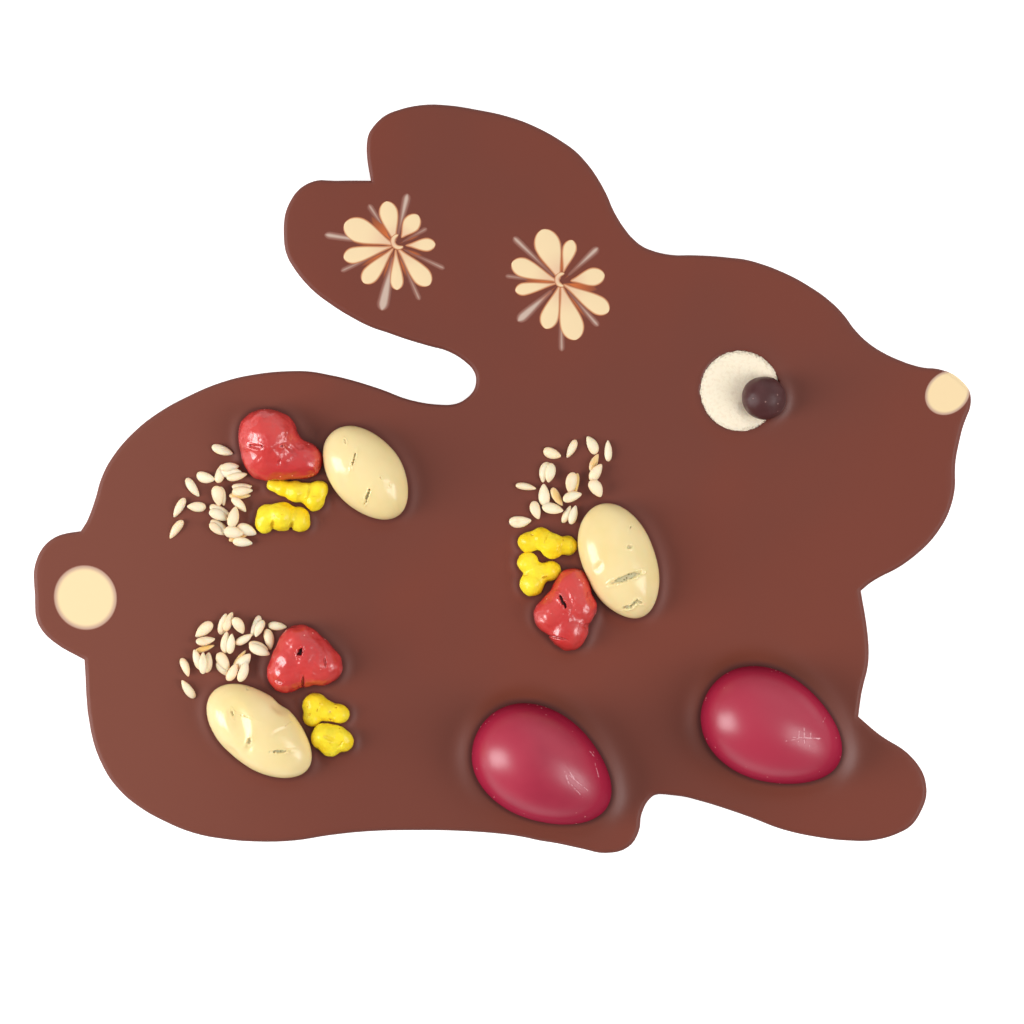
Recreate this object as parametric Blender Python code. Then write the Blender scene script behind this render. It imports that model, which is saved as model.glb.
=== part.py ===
"""Chocolate bunny: a flat slab of milk chocolate with toppings set into its upper face.

It lies flat with its decorated side up. Metres, +Z up, the nose towards +X and the ears towards
+Y. The origin is on the underside, below the middle of the slab's length and width. Named sizes
are in millimetres and become metres where the geometry is made.
"""

import math
import random
from typing import NamedTuple

import bmesh
import bpy
from mathutils import Matrix, Vector

MM = 0.001


class Oval(NamedTuple):
    """An oval topping in millimetres, with the heading of its narrow end in degrees."""

    x: float
    y: float
    z: float
    length: float
    width: float
    height: float
    heading: float


class Kind(NamedTuple):
    """What toppings of one kind share. Faces are counted round and along; sizes in millimetres.

    The blend is how wide the melting of one lobe into the next is.
    """

    material: str
    taper: float
    faces: tuple
    collar_sides: int
    collar_spread: float
    collar_rise: float
    blend: float = 0.0


class Drift(NamedTuple):
    """Seeds strewn over an ellipse, lying along a heading but for a wander to either side."""

    x: float
    y: float
    half_length: float
    half_width: float
    count: int
    heading: float
    wander: float


# Slab, in millimetres
SLAB_THICKNESS = 7.0
RIM_RADIUS = 0.7
OUTLINE_STEPS = 3
FLAT_NORMAL = 0.999

# Outline anchors in millimetres, anticlockwise from the tip of the nose. Smooth anchors have
# automatic handles, corner anchors keep a crease in the outline.
OUTLINE = (
    ("nose", "smooth", ((77.5, 13.6), (75.9, 16.2), (73.0, 17.9), (68.6, 18.6))),
    ("forehead", "smooth", ((60.5, 22.5), (54.3, 29.3), (42.3, 35.7), (35.2, 36.8))),
    ("foot of the near ear", "smooth", ((24.3, 37.9), (20.7, 40.7))),
    ("near ear", "smooth", ((15.1, 50.7), (10.3, 55.5), (-4.5, 61.1), (-17.9, 60.8))),
    ("tip of the near ear", "smooth", ((-21.5, 58.1), (-22.4, 56.0))),
    ("step between the ears", "corner", ((-21.8, 49.3),)),
    ("tip of the far ear", "smooth", ((-27.6, 49.3), (-31.6, 49.1), (-34.9, 46.3), (-36.2, 40.2))),
    ("far ear", "smooth", ((-34.9, 35.4), (-24.7, 26.6), (-16.1, 23.2))),
    ("notch under the ear", "smooth", ((-5.7, 19.0), (-4.4, 16.0), (-6.1, 13.2), (-9.6, 12.2))),
    ("back", "smooth", ((-25.7, 16.5), (-34.9, 17.8), (-52.1, 13.6), (-64.6, 3.5), (-68.7, -6.9))),
    ("upper root of the tail", "corner", ((-69.8, -8.7),)),
    ("tail", "smooth", ((-74.4, -9.9), (-77.1, -13.4), (-77.4, -19.2), (-76.5, -24.7))),
    ("lower root of the tail", "corner", ((-69.2, -30.0),)),
    ("rump", "smooth", ((-66.0, -47.9), (-56.2, -56.6), (-40.8, -60.1))),
    ("belly", "smooth", ((-22.3, -58.4), (0.5, -58.9), (9.1, -60.4))),
    ("hind foot", "smooth", ((20.8, -61.0), (24.7, -52.7), (27.8, -52.4))),
    ("front leg, lower side", "smooth", ((34.9, -54.0), (52.4, -59.4))),
    ("front paw", "smooth", ((66.2, -58.4), (69.3, -55.0), (70.1, -50.6), (67.8, -46.2))),
    ("front leg, upper side", "smooth", ((62.3, -42.3),)),
    ("bend of the front leg", "corner", ((58.9, -39.4),)),
    ("chest", "smooth", ((59.4, -35.7), (60.6, -29.7))),
    ("throat", "corner", ((59.3, -18.6),)),
    ("chin", "smooth", ((61.0, -17.2), (66.8, -13.9), (72.4, -8.3), (74.7, -2.7))),
    ("muzzle", "smooth", ((75.0, 2.9), (76.1, 8.2))),
)

# Room left round a topping and, wider because of its creases, round a lobed one, in millimetres
FIT_GAP = 0.3
LOBED_FIT_GAP = 0.4

# Chocolate is drawn up round a topping as a collar, which starts under the face and ends short of
# the slab's edge, in millimetres
COLLAR_ROOT = 0.5
COLLAR_EDGE = 1.0

KINDS = {
    "egg": Kind("crimson_glaze", 0.165, (18, 10), 18, 3.2, 0.8),
    "cream_candy": Kind("cream_glaze", 0.05, (16, 9), 16, 2.2, 0.6),
    "red_crunch": Kind("red_glaze", 0.0, (15, 9), 12, 2.2, 0.6, 0.9),
    "yellow_crunch": Kind("yellow_glaze", 0.0, (13, 7), 9, 1.6, 0.4, 0.3),
    "eye_disc": Kind("sugar_paste", 0.0, (24, 1), 18, 1.8, 0.3),
    "eye_pearl": Kind("dark_chocolate", 0.0, (12, 7), 10, 1.0, 0.5),
    "dot": Kind("white_chocolate", 0.0, (24, 1), 0, 0.0, 0.0),
}

OVALS = {
    "egg_belly": Oval(6.75, -47.7, 10.0, 24.8, 17.8, 17.8, -32.0),
    "egg_chest": Oval(44.6, -41.3, 10.0, 24.6, 17.8, 17.8, -27.5),
    "cream_candy_back": Oval(-22.5, 0.9, 8.6, 17.5, 11.6, 9.4, -51.0),
    "cream_candy_rump": Oval(-40.2, -41.8, 8.6, 20.1, 11.8, 9.6, -39.0),
    "cream_candy_shoulder": Oval(19.3, -13.65, 8.6, 19.9, 12.1, 9.6, -68.5),
}

# Lobed toppings: each lobe's x, y, height of its middle over the slab's face, and radius, in
# millimetres
LOBE_REACH = 12.0
LOBE_FINENESS = 0.001
LOBES = {
    "red_crunch_back": (
        (-38.25, 6.85, 1.7, 4.35),
        (-40.2, 6.0, 1.2, 2.65),
        (-40.6, 8.3, 1.0, 2.2),
        (-39.4, 2.8, 1.2, 3.05),
        (-32.55, 2.95, 1.2, 2.85),
        (-35.8, 2.9, 1.5, 2.7),
    ),
    "red_crunch_rump": (
        (-33.5, -27.4, 1.3, 3.2),
        (-35.2, -30.1, 1.3, 2.55),
        (-35.9, -32.5, 1.2, 2.9),
        (-29.4, -31.0, 1.2, 2.95),
        (-32.0, -31.0, 1.5, 2.6),
        (-31.3, -28.7, 1.2, 2.2),
    ),
    "red_crunch_shoulder": (
        (11.65, -17.5, 1.2, 2.65),
        (7.95, -22.6, 1.2, 2.75),
        (10.4, -20.4, 1.5, 2.5),
        (12.9, -21.3, 1.4, 2.55),
        (11.0, -25.4, 1.1, 3.0),
    ),
    "yellow_crunch_back_upper": (
        (-38.0, -1.1, 0.4, 1.0),
        (-36.3, -1.55, 0.6, 1.35),
        (-34.2, -2.1, 0.8, 1.8),
        (-30.4, -1.85, 0.7, 1.55),
        (-31.1, -3.6, 0.7, 1.7),
        (-32.3, -2.45, 0.7, 1.6),
    ),
    "yellow_crunch_back_lower": (
        (-39.0, -6.1, 0.7, 1.7),
        (-39.4, -7.4, 0.6, 1.6),
        (-36.45, -6.25, 1.1, 2.35),
        (-33.65, -6.4, 0.7, 1.6),
        (-33.4, -7.4, 0.6, 1.5),
    ),
    "yellow_crunch_rump_upper": (
        (-31.0, -37.4, 0.6, 2.0),
        (-29.1, -38.4, 0.5, 1.7),
        (-26.9, -38.9, 0.5, 1.65),
        (-31.5, -39.6, 0.4, 1.5),
    ),
    "yellow_crunch_rump_lower": (
        (-29.4, -42.65, 1.3, 2.25),
        (-27.3, -42.75, 1.2, 1.85),
        (-26.2, -43.6, 1.0, 1.6),
        (-28.4, -44.1, 1.0, 1.8),
    ),
    "yellow_crunch_shoulder_upper": (
        (4.3, -10.5, 0.6, 1.7),
        (6.3, -9.9, 0.8, 1.8),
        (8.3, -11.25, 0.9, 2.0),
        (10.8, -11.1, 0.6, 1.65),
    ),
    "yellow_crunch_shoulder_lower": (
        (4.2, -13.9, 0.6, 1.75),
        (8.0, -15.25, 0.6, 1.65),
        (5.85, -15.7, 0.8, 1.75),
        (4.9, -17.45, 0.8, 2.05),
    ),
}

# Eye and flush dots, in millimetres and degrees. The discs are let in from the slab's face.
DISC_DEPTH = 1.5
DISC_RIM = 0.25
EYE_DISC = Oval(39.3, 14.5, 0.35, 13.2, 13.2, DISC_DEPTH, 0.0)
EYE_PEARL = Oval(43.2, 13.3, 8.5, 7.3, 7.3, 7.3, 0.0)
DOTS = {
    "tail_dot": Oval(-69.0, -19.7, 0.0, 10.8, 10.4, DISC_DEPTH, -64.0),
    "nose_dot": Oval(73.65, 14.2, 0.0, 8.1, 6.8, DISC_DEPTH, 42.0),
}

# Marbled flowers, drawn from the middle outwards: heading in degrees, reach and width of each
# white petal, in millimetres
PETAL_ROOT = 1.0
PETAL_RISE = 0.35
PETAL_SINK = 0.1
PETAL_TAPER = 0.5
PETAL_FACES = (8, 4)
FLOWERS = (
    (
        (-17.7, 38.5),
        (
            (157, 9.1, 4.0),
            (102, 7.4, 3.0),
            (54, 6.2, 2.8),
            (2, 6.5, 2.1),
            (-49, 8.5, 3.0),
            (-88, 7.2, 2.1),
            (-131, 8.0, 2.7),
            (-167, 8.7, 2.6),
        ),
    ),
    (
        (9.6, 32.4),
        (
            (109, 9.2, 4.2),
            (75, 7.2, 2.2),
            (10, 7.3, 2.9),
            (-31, 9.2, 3.0),
            (-75, 9.7, 3.8),
            (-108, 7.9, 2.9),
            (-170, 7.5, 2.0),
            (158, 8.6, 3.1),
        ),
    ),
)

# Sesame seeds in millimetres, in drifts that hold one to three seeds each. Two come no nearer
# than the squeeze, as a share of their widths, and nearer than the lap the later one lies on the
# other, a step higher.
SEED_LENGTH = (3.1, 3.8)
SEED_WIDTH = (1.4, 2.05)
SEED_TAPER = 0.26
SEED_FACES = (6, 3)
SEED_RISE = 0.75
SEED_ROOT = 0.35
SEED_LIFT = 0.35
SEED_SQUEEZE = 0.35
SEED_LAP = 0.85
SEED_STEP = 0.55
SEED_LEVELS = 3
SEED_TRIES = 400
SEED_DRAW = 20
DRIFTS = (
    Drift(-46.4, 4.7, 0.1, 0.1, 1, -20, 0),
    Drift(-46.8, 0.9, 0.2, 0.2, 1, 75, 5),
    Drift(-43.9, 1.3, 1.6, 1.1, 3, 8, 15),
    Drift(-49.0, 0.1, 0.2, 0.2, 1, -15, 5),
    Drift(-51.4, -1.4, 0.2, 0.2, 1, -60, 5),
    Drift(-47.2, -2.9, 1.1, 0.5, 2, -70, 12),
    Drift(-43.2, -2.0, 0.6, 1.2, 3, 5, 6),
    Drift(-43.9, -4.0, 0.6, 0.5, 1, -40, 10),
    Drift(-53.6, -4.7, 0.2, 0.2, 1, 245, 5),
    Drift(-50.6, -4.6, 0.2, 0.2, 1, 180, 5),
    Drift(-47.0, -5.4, 0.3, 0.7, 2, -22, 10),
    Drift(-44.5, -6.3, 0.2, 0.2, 1, 80, 5),
    Drift(-54.1, -8.5, 0.2, 0.2, 1, 230, 5),
    Drift(-46.2, -8.1, 1.1, 0.8, 2, -45, 25),
    Drift(-43.6, -8.5, 1.7, 1.4, 3, 20, 60),
    Drift(-43.0, -10.3, 0.4, 0.3, 1, -10, 5),
    Drift(-49.3, -25.1, 0.2, 0.2, 1, 225, 5),
    Drift(-46.0, -23.7, 0.8, 0.4, 2, 70, 10),
    Drift(-43.4, -24.2, 0.2, 0.2, 1, -60, 5),
    Drift(-40.7, -24.6, 0.9, 0.2, 2, 255, 10),
    Drift(-37.2, -24.6, 0.2, 0.2, 1, -5, 5),
    Drift(-49.4, -27.6, 0.5, 1.0, 2, 10, 10),
    Drift(-45.6, -27.3, 1.0, 0.3, 2, 82, 5),
    Drift(-42.8, -26.5, 0.2, 0.2, 1, 25, 5),
    Drift(-38.5, -26.6, 0.2, 0.2, 1, -75, 5),
    Drift(-40.2, -28.4, 0.2, 0.9, 2, -22, 4),
    Drift(-52.3, -31.2, 0.2, 0.2, 1, -70, 5),
    Drift(-49.5, -30.1, 1.4, 0.4, 3, 80, 30),
    Drift(-43.0, -29.2, 0.7, 1.2, 2, 50, 6),
    Drift(-46.1, -30.6, 0.4, 1.1, 2, -55, 6),
    Drift(-43.7, -31.9, 1.1, 0.9, 2, 65, 6),
    Drift(-51.9, -34.9, 0.2, 0.2, 1, 120, 5),
    Drift(-46.8, -33.4, 0.4, 0.3, 1, 165, 5),
    Drift(8.3, 4.0, 0.2, 0.2, 1, -20, 4),
    Drift(11.6, 4.9, 0.2, 0.2, 1, 245, 4),
    Drift(15.0, 5.5, 0.2, 0.2, 1, 115, 4),
    Drift(17.4, 4.4, 0.2, 0.2, 1, 95, 4),
    Drift(8.0, 1.1, 1.1, 0.3, 2, 258, 4),
    Drift(15.2, 1.5, 0.4, 1.2, 2, 65, 10),
    Drift(3.8, -1.4, 0.2, 0.2, 1, -10, 4),
    Drift(6.7, -2.7, 0.2, 0.2, 1, 95, 4),
    Drift(8.9, -3.1, 0.2, 0.2, 1, -60, 4),
    Drift(12.1, -0.9, 1.0, 0.2, 2, 262, 5),
    Drift(15.4, -1.5, 0.2, 0.2, 1, -55, 4),
    Drift(11.6, -2.9, 0.2, 0.2, 1, 15, 4),
    Drift(5.6, -5.3, 0.2, 0.2, 1, -75, 4),
    Drift(8.3, -4.8, 0.2, 0.2, 1, -15, 4),
    Drift(11.0, -5.3, 1.0, 1.0, 2, 75, 30),
    Drift(2.9, -7.0, 0.2, 0.2, 1, 5, 4),
)

# Base colour in linear values, and roughness
MATERIALS = {
    "milk_chocolate": ((0.212, 0.061, 0.042, 1.0), 0.34),
    "crimson_glaze": ((0.434, 0.054, 0.086, 1.0), 0.28),
    "cream_glaze": ((0.93, 0.78, 0.42, 1.0), 0.22),
    "red_glaze": ((0.62, 0.045, 0.05, 1.0), 0.18),
    "yellow_glaze": ((0.94, 0.74, 0.06, 1.0), 0.22),
    "white_chocolate": ((0.94, 0.79, 0.52, 1.0), 0.35),
    "sugar_paste": ((0.92, 0.82, 0.64, 1.0), 0.7),
    "dark_chocolate": ((0.045, 0.018, 0.016, 1.0), 0.3),
}


def clear_scene():
    for old in list(bpy.data.objects):
        bpy.data.objects.remove(old, do_unlink=True)


def make_collection(name):
    collection = bpy.data.collections.new(name)
    bpy.context.scene.collection.children.link(collection)
    return collection


def make_materials():
    made = {}
    for name, (colour, roughness) in MATERIALS.items():
        material = bpy.data.materials.new(name)
        material.use_nodes = True
        shader = material.node_tree.nodes["Principled BSDF"]
        shader.inputs["Base Color"].default_value = colour
        shader.inputs["Roughness"].default_value = roughness
        shader.inputs["Metallic"].default_value = 0.0
        made[name] = material
    return made


def add_object(name, bm, collection, middle=(0.0, 0.0, 0.0), heading=0.0):
    """Makes an object of a bmesh, its middle in millimetres and its heading in degrees."""
    mesh = bpy.data.meshes.new(name)
    bm.normal_update()
    bm.to_mesh(mesh)
    bm.free()
    obj = bpy.data.objects.new(name, mesh)
    obj.location = Vector(middle) * MM
    obj.rotation_euler.z = math.radians(heading)
    collection.objects.link(obj)
    return obj


def finish(obj, material):
    obj.data.materials.clear()
    obj.data.materials.append(material)
    obj.data.shade_smooth()
    obj.data.set_sharp_from_angle(angle=math.radians(40.0))


def evaluated_mesh(obj):
    """The mesh that the object's modifiers or curve give, in the object's own coordinates."""
    graph = bpy.context.evaluated_depsgraph_get()
    return bpy.data.meshes.new_from_object(obj.evaluated_get(graph))


def apply_boolean(obj, operation, collection):
    """Joins, cuts or bounds the object with a whole collection, then removes the collection."""
    for helper in collection.objects:
        helper.hide_render = True
        helper.display_type = "WIRE"
    modifier = obj.modifiers.new(operation.lower(), "BOOLEAN")
    modifier.operation = operation
    modifier.operand_type = "COLLECTION"
    modifier.collection = collection
    shaped = evaluated_mesh(obj)
    obj.modifiers.clear()
    obj.data = shaped
    for helper in list(collection.objects):
        bpy.data.objects.remove(helper, do_unlink=True)
    bpy.data.collections.remove(collection)


def outline_solid(name, collection, thickness, rim=0.0, inset=0.0):
    """The outline, drawn in by an inset, filled and given a thickness from z = 0 up."""
    anchors = [(point, kind) for _, kind, points in OUTLINE for point in points]
    curve = bpy.data.curves.new(name, "CURVE")
    curve.dimensions = "2D"
    curve.fill_mode = "BOTH"
    curve.resolution_u = OUTLINE_STEPS
    curve.extrude = (thickness / 2 - rim) * MM
    curve.bevel_depth = rim * MM
    curve.bevel_resolution = 1
    curve.offset = -(rim + inset) * MM
    spline = curve.splines.new("BEZIER")
    spline.bezier_points.add(len(anchors) - 1)
    for knot, ((x, y), kind) in zip(spline.bezier_points, anchors):
        handle = "AUTO" if kind == "smooth" else "VECTOR"
        knot.co = (x * MM, y * MM, 0.0)
        knot.handle_left_type = handle
        knot.handle_right_type = handle
    spline.use_cyclic_u = True
    drawn = bpy.data.objects.new(name + "_curve", curve)
    collection.objects.link(drawn)

    bm = bmesh.new()
    filled = evaluated_mesh(drawn)
    bm.from_mesh(filled)
    bmesh.ops.remove_doubles(bm, verts=bm.verts, dist=0.002 * MM)
    bmesh.ops.recalc_face_normals(bm, faces=bm.faces)
    for side in (1.0, -1.0):
        flat = [face for face in bm.faces if face.normal.z * side > FLAT_NORMAL]
        bmesh.ops.dissolve_faces(bm, faces=flat)
    bpy.data.objects.remove(drawn, do_unlink=True)
    bpy.data.curves.remove(curve)
    bpy.data.meshes.remove(filled)
    return add_object(name, bm, collection, (0.0, 0.0, thickness / 2))


def stretched_ball(faces, length, width, height, taper):
    """A ball with its poles on X, stretched, and drawn in towards +X by the taper."""
    bm = bmesh.new()
    on_its_side = Matrix.Rotation(math.pi / 2, 4, "Y")
    bmesh.ops.create_uvsphere(
        bm, u_segments=faces[0], v_segments=faces[1], radius=1.0, matrix=on_its_side
    )
    for vert in bm.verts:
        along, across, up = vert.co
        drawn_in = 1.0 - taper * along
        vert.co.x = along * length / 2 * MM
        vert.co.y = across * width / 2 * drawn_in * MM
        vert.co.z = up * height / 2 * drawn_in * MM
    return bm


def grown_ball(faces, shape, gap, taper):
    """The ball of an oval topping, larger all round by a gap."""
    room = 2 * gap
    return stretched_ball(
        faces, shape.length + room, shape.width + room, shape.height + room, taper
    )


def lobe_gap(point, lobes, blend):
    """Distance from a point to the blended lobes, less than 0 inside them."""
    nearness = 0.0
    for x, y, rise, radius in lobes:
        outside = (point - Vector((x, y, SLAB_THICKNESS + rise))).length - radius
        nearness += math.exp(-outside / blend)
    return -blend * math.log(nearness)


def lobe_middle(lobes):
    weight = sum(radius for _, _, _, radius in lobes)
    middle = Vector((0.0, 0.0, SLAB_THICKNESS))
    for x, y, rise, radius in lobes:
        middle += Vector((x, y, rise)) * (radius / weight)
    return middle


def lobe_surface(ray, lobes, blend, gap=0.0):
    """How far along a ray from their middle the lobes' surface lies, grown by a gap."""
    middle = lobe_middle(lobes)
    inside, outside = 0.0, LOBE_REACH
    while outside - inside > LOBE_FINENESS:
        halfway = (inside + outside) / 2
        if lobe_gap(middle + ray * halfway, lobes, blend) < gap:
            inside = halfway
        else:
            outside = halfway
    return inside


def lobed_ball(faces, lobes, blend, gap=0.0):
    """A ball whose points move out from the lobes' middle to the lobes' surface."""
    bm = bmesh.new()
    bmesh.ops.create_uvsphere(bm, u_segments=faces[0], v_segments=faces[1], radius=1.0)
    for vert in bm.verts:
        ray = vert.co.normalized()
        vert.co = ray * lobe_surface(ray, lobes, blend, gap) * MM
    return bm


def drum(sides, length, width, height, rim):
    """An upright drum on z = 0 with an oval plan and, for a rim above 0, a bevelled upper edge."""
    bm = bmesh.new()
    bmesh.ops.create_cone(
        bm, cap_ends=True, segments=sides, radius1=0.5, radius2=0.5, depth=1.0
    )
    bmesh.ops.translate(bm, verts=bm.verts, vec=(0.0, 0.0, 0.5))
    bmesh.ops.scale(bm, verts=bm.verts, vec=(length * MM, width * MM, height * MM))
    if rim > 0:
        halfway = height / 2 * MM
        upper = [e for e in bm.edges if all(v.co.z > halfway for v in e.verts)]
        bmesh.ops.bevel(
            bm, geom=upper, offset=rim * MM, segments=1, profile=0.5, affect="EDGES", material=-1
        )
    return bm


def collar(kind, side):
    """Chocolate drawn up round a topping: a low cone about the topping's own plan.

    side gives the plan's distance from the middle for a direction.
    """
    spread = kind.collar_spread * (1.0 + COLLAR_ROOT / kind.collar_rise)
    bm = bmesh.new()
    bmesh.ops.create_cone(
        bm, cap_ends=True, segments=kind.collar_sides, radius1=1.0, radius2=1.0, depth=1.0
    )
    for vert in bm.verts:
        direction = Vector((vert.co.x, vert.co.y, 0.0)).normalized()
        low = vert.co.z < 0
        point = direction * (side(direction) + (spread if low else 0.0))
        point.z = -COLLAR_ROOT if low else kind.collar_rise
        vert.co = point * MM
    return bm


def oval_side(shape):
    """For an oval plan, the distance to its side in a direction."""

    def side(direction):
        return 1.0 / math.hypot(direction.x / (shape.length / 2), direction.y / (shape.width / 2))

    return side


def lobed_side(lobes, blend):
    """For a lobed plan, the distance to its side in a direction."""

    def side(direction):
        return lobe_surface(direction, lobes, blend)

    return side


def kind_of(name):
    """A topping's kind, which its name starts with."""
    return next(kind for label, kind in KINDS.items() if name.startswith(label))


def add_ovals(parts, pockets, raised, materials):
    for name, shape in OVALS.items():
        kind = kind_of(name)
        middle = (shape.x, shape.y, shape.z)
        ball = grown_ball(kind.faces, shape, 0.0, kind.taper)
        finish(add_object(name, ball, parts, middle, shape.heading), materials[kind.material])
        pocket = grown_ball(kind.faces, shape, FIT_GAP, kind.taper)
        add_object(name + "_pocket", pocket, pockets, middle, shape.heading)
        foot = (shape.x, shape.y, SLAB_THICKNESS)
        ring = collar(kind, oval_side(shape))
        ring = add_object(name + "_collar", ring, raised, foot, shape.heading)
        bounds = make_collection(name + "_bounds")
        outline_solid(name + "_prism", bounds, 2 * SLAB_THICKNESS, inset=COLLAR_EDGE)
        apply_boolean(ring, "INTERSECT", bounds)


def add_lobed(parts, pockets, raised, materials):
    for name, lobes in LOBES.items():
        kind = kind_of(name)
        middle = lobe_middle(lobes)
        ball = lobed_ball(kind.faces, lobes, kind.blend)
        finish(add_object(name, ball, parts, middle), materials[kind.material])
        pocket = lobed_ball(kind.faces, lobes, kind.blend, LOBED_FIT_GAP)
        add_object(name + "_pocket", pocket, pockets, middle)
        foot = (middle.x, middle.y, SLAB_THICKNESS)
        ring = collar(kind, lobed_side(lobes, kind.blend))
        add_object(name + "_collar", ring, raised, foot)


def add_eye(parts, pockets, raised, materials):
    """A sugar disc let into the face, with a dark pearl pressed into it and the chocolate."""
    disc_kind, pearl_kind = KINDS["eye_disc"], KINDS["eye_pearl"]
    disc, pearl = EYE_DISC, EYE_PEARL
    pearl_middle = (pearl.x, pearl.y, pearl.z)
    sides = disc_kind.faces[0]
    floor = SLAB_THICKNESS + disc.z - disc.height
    plate = drum(sides, disc.length, disc.width, disc.height, DISC_RIM)
    plate = add_object("eye_disc", plate, parts, (disc.x, disc.y, floor))
    bite = make_collection("pearl_bite")
    bite_ball = grown_ball(pearl_kind.faces, pearl, FIT_GAP, 0.0)
    add_object("bite", bite_ball, bite, pearl_middle)
    apply_boolean(plate, "DIFFERENCE", bite)
    finish(plate, materials[disc_kind.material])
    ball = grown_ball(pearl_kind.faces, pearl, 0.0, 0.0)
    ball = add_object("eye_pearl", ball, parts, pearl_middle)
    finish(ball, materials[pearl_kind.material])

    room = 2 * FIT_GAP
    well = drum(sides, disc.length + room, disc.width + room, 2 * disc.height, 0.0)
    add_object("eye_disc_pocket", well, pockets, (disc.x, disc.y, floor - FIT_GAP))
    hollow = grown_ball(pearl_kind.faces, pearl, FIT_GAP, 0.0)
    add_object("eye_pearl_pocket", hollow, pockets, pearl_middle)
    for shape, kind in ((disc, disc_kind), (pearl, pearl_kind)):
        ring = collar(kind, oval_side(shape))
        add_object(f"{kind.material}_collar", ring, raised, (shape.x, shape.y, SLAB_THICKNESS))


def add_dots(parts, pockets, materials):
    """White chocolate dots flush with the face. The nose dot ends where the slab does."""
    kind = KINDS["dot"]
    sides = kind.faces[0]
    room = 2 * FIT_GAP
    for name, shape in DOTS.items():
        floor = SLAB_THICKNESS + shape.z - shape.height
        dot = drum(sides, shape.length, shape.width, shape.height, 0.0)
        dot = add_object(name, dot, parts, (shape.x, shape.y, floor), shape.heading)
        bounds = make_collection(name + "_bounds")
        outline_solid(name + "_slab", bounds, SLAB_THICKNESS, rim=RIM_RADIUS)
        apply_boolean(dot, "INTERSECT", bounds)
        finish(dot, materials[kind.material])
        well = drum(sides, shape.length + room, shape.width + room, 2 * shape.height, 0.0)
        place = (shape.x, shape.y, floor - FIT_GAP)
        add_object(name + "_pocket", well, pockets, place, shape.heading)


def add_petals(raised):
    """Low teardrops, narrow at the flower's middle and round at their outer end."""
    for flower, ((x, y), petals) in enumerate(FLOWERS):
        for number, (heading, reach, width) in enumerate(petals):
            length = reach - PETAL_ROOT
            petal = stretched_ball(PETAL_FACES, length, width, 2 * PETAL_RISE, -PETAL_TAPER)
            turn = math.radians(heading)
            out = PETAL_ROOT + length / 2
            sunk = SLAB_THICKNESS - PETAL_SINK
            middle = (x + out * math.cos(turn), y + out * math.sin(turn), sunk)
            add_object(f"petal_{flower}_{number}", petal, raised, middle, heading)


def oval_gap(shape, taper, x, y):
    """Distance seen from above to an oval's outline, less than 0 inside."""
    turn = math.radians(shape.heading)
    off_x, off_y = x - shape.x, y - shape.y
    long_half, wide_half = shape.length / 2, shape.width / 2
    along = (off_x * math.cos(turn) + off_y * math.sin(turn)) / long_half
    across = (off_y * math.cos(turn) - off_x * math.sin(turn)) / wide_half
    across /= 1.0 - taper * min(max(along, -1.0), 1.0)
    out = math.hypot(along, across)
    steepness = math.hypot(along / long_half, across / wide_half)
    return (out - 1) * out / steepness if steepness > 0 else -wide_half


def topping_gap(x, y):
    """Distance seen from above to the nearest oval or lobed topping, less than 0 inside."""
    gaps = [oval_gap(shape, kind_of(name).taper, x, y) for name, shape in OVALS.items()]
    for name, lobes in LOBES.items():
        flat = [(lobe_x, lobe_y, 0.0, radius) for lobe_x, lobe_y, _, radius in lobes]
        gaps.append(lobe_gap(Vector((x, y, SLAB_THICKNESS)), flat, kind_of(name).blend))
    return min(gaps)


def spine(x, y, heading, length, width):
    """Points along the middle of a seed, from one round end to the other."""
    turn = math.radians(heading)
    reach = (length - width) / 2
    return [
        (x + reach * share * math.cos(turn), y + reach * share * math.sin(turn))
        for share in (-1.0, -0.5, 0.0, 0.5, 1.0)
    ]


def strewn_seeds():
    """Where each seed lies: its x, y, heading, length, width and lift.

    A seed is drawn again until it is clear of the toppings and not too near the other seeds.
    """
    draw = random.Random(SEED_DRAW)
    seeds, taken = [], []
    for drift in DRIFTS:
        left, tries = drift.count, SEED_TRIES
        while left and tries:
            tries -= 1
            bearing = draw.uniform(0.0, 2 * math.pi)
            out = math.sqrt(draw.random())
            x = drift.x + drift.half_length * out * math.cos(bearing)
            y = drift.y + drift.half_width * out * math.sin(bearing)
            heading = drift.heading + draw.uniform(-drift.wander, drift.wander)
            length = draw.uniform(*SEED_LENGTH)
            width = draw.uniform(*SEED_WIDTH)
            lift = draw.uniform(0.0, SEED_LIFT)
            line = spine(x, y, heading, length, width)
            clear = all(topping_gap(*spot) > width / 2 for spot in line)
            level = 0
            for other, other_width, other_level in taken:
                room = min(math.dist(a, b) for a in line for b in other)
                room /= (width + other_width) / 2
                if room < SEED_SQUEEZE:
                    clear = False
                elif room < SEED_LAP:
                    level = max(level, other_level + 1)
            if clear and level < SEED_LEVELS:
                seeds.append((x, y, heading, length, width, lift + level * SEED_STEP))
                taken.append((line, width, level))
                left -= 1
    return seeds


def add_seeds(raised):
    """Seeds that reach down into the slab, also where they lie on other seeds."""
    for number, (x, y, heading, length, width, lift) in enumerate(strewn_seeds()):
        height = SEED_ROOT + SEED_RISE + lift
        seed = stretched_ball(SEED_FACES, length, width, height, SEED_TAPER)
        middle = (x, y, SLAB_THICKNESS - SEED_ROOT + height / 2)
        add_object(f"seed_{number}", seed, raised, middle, heading)


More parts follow.
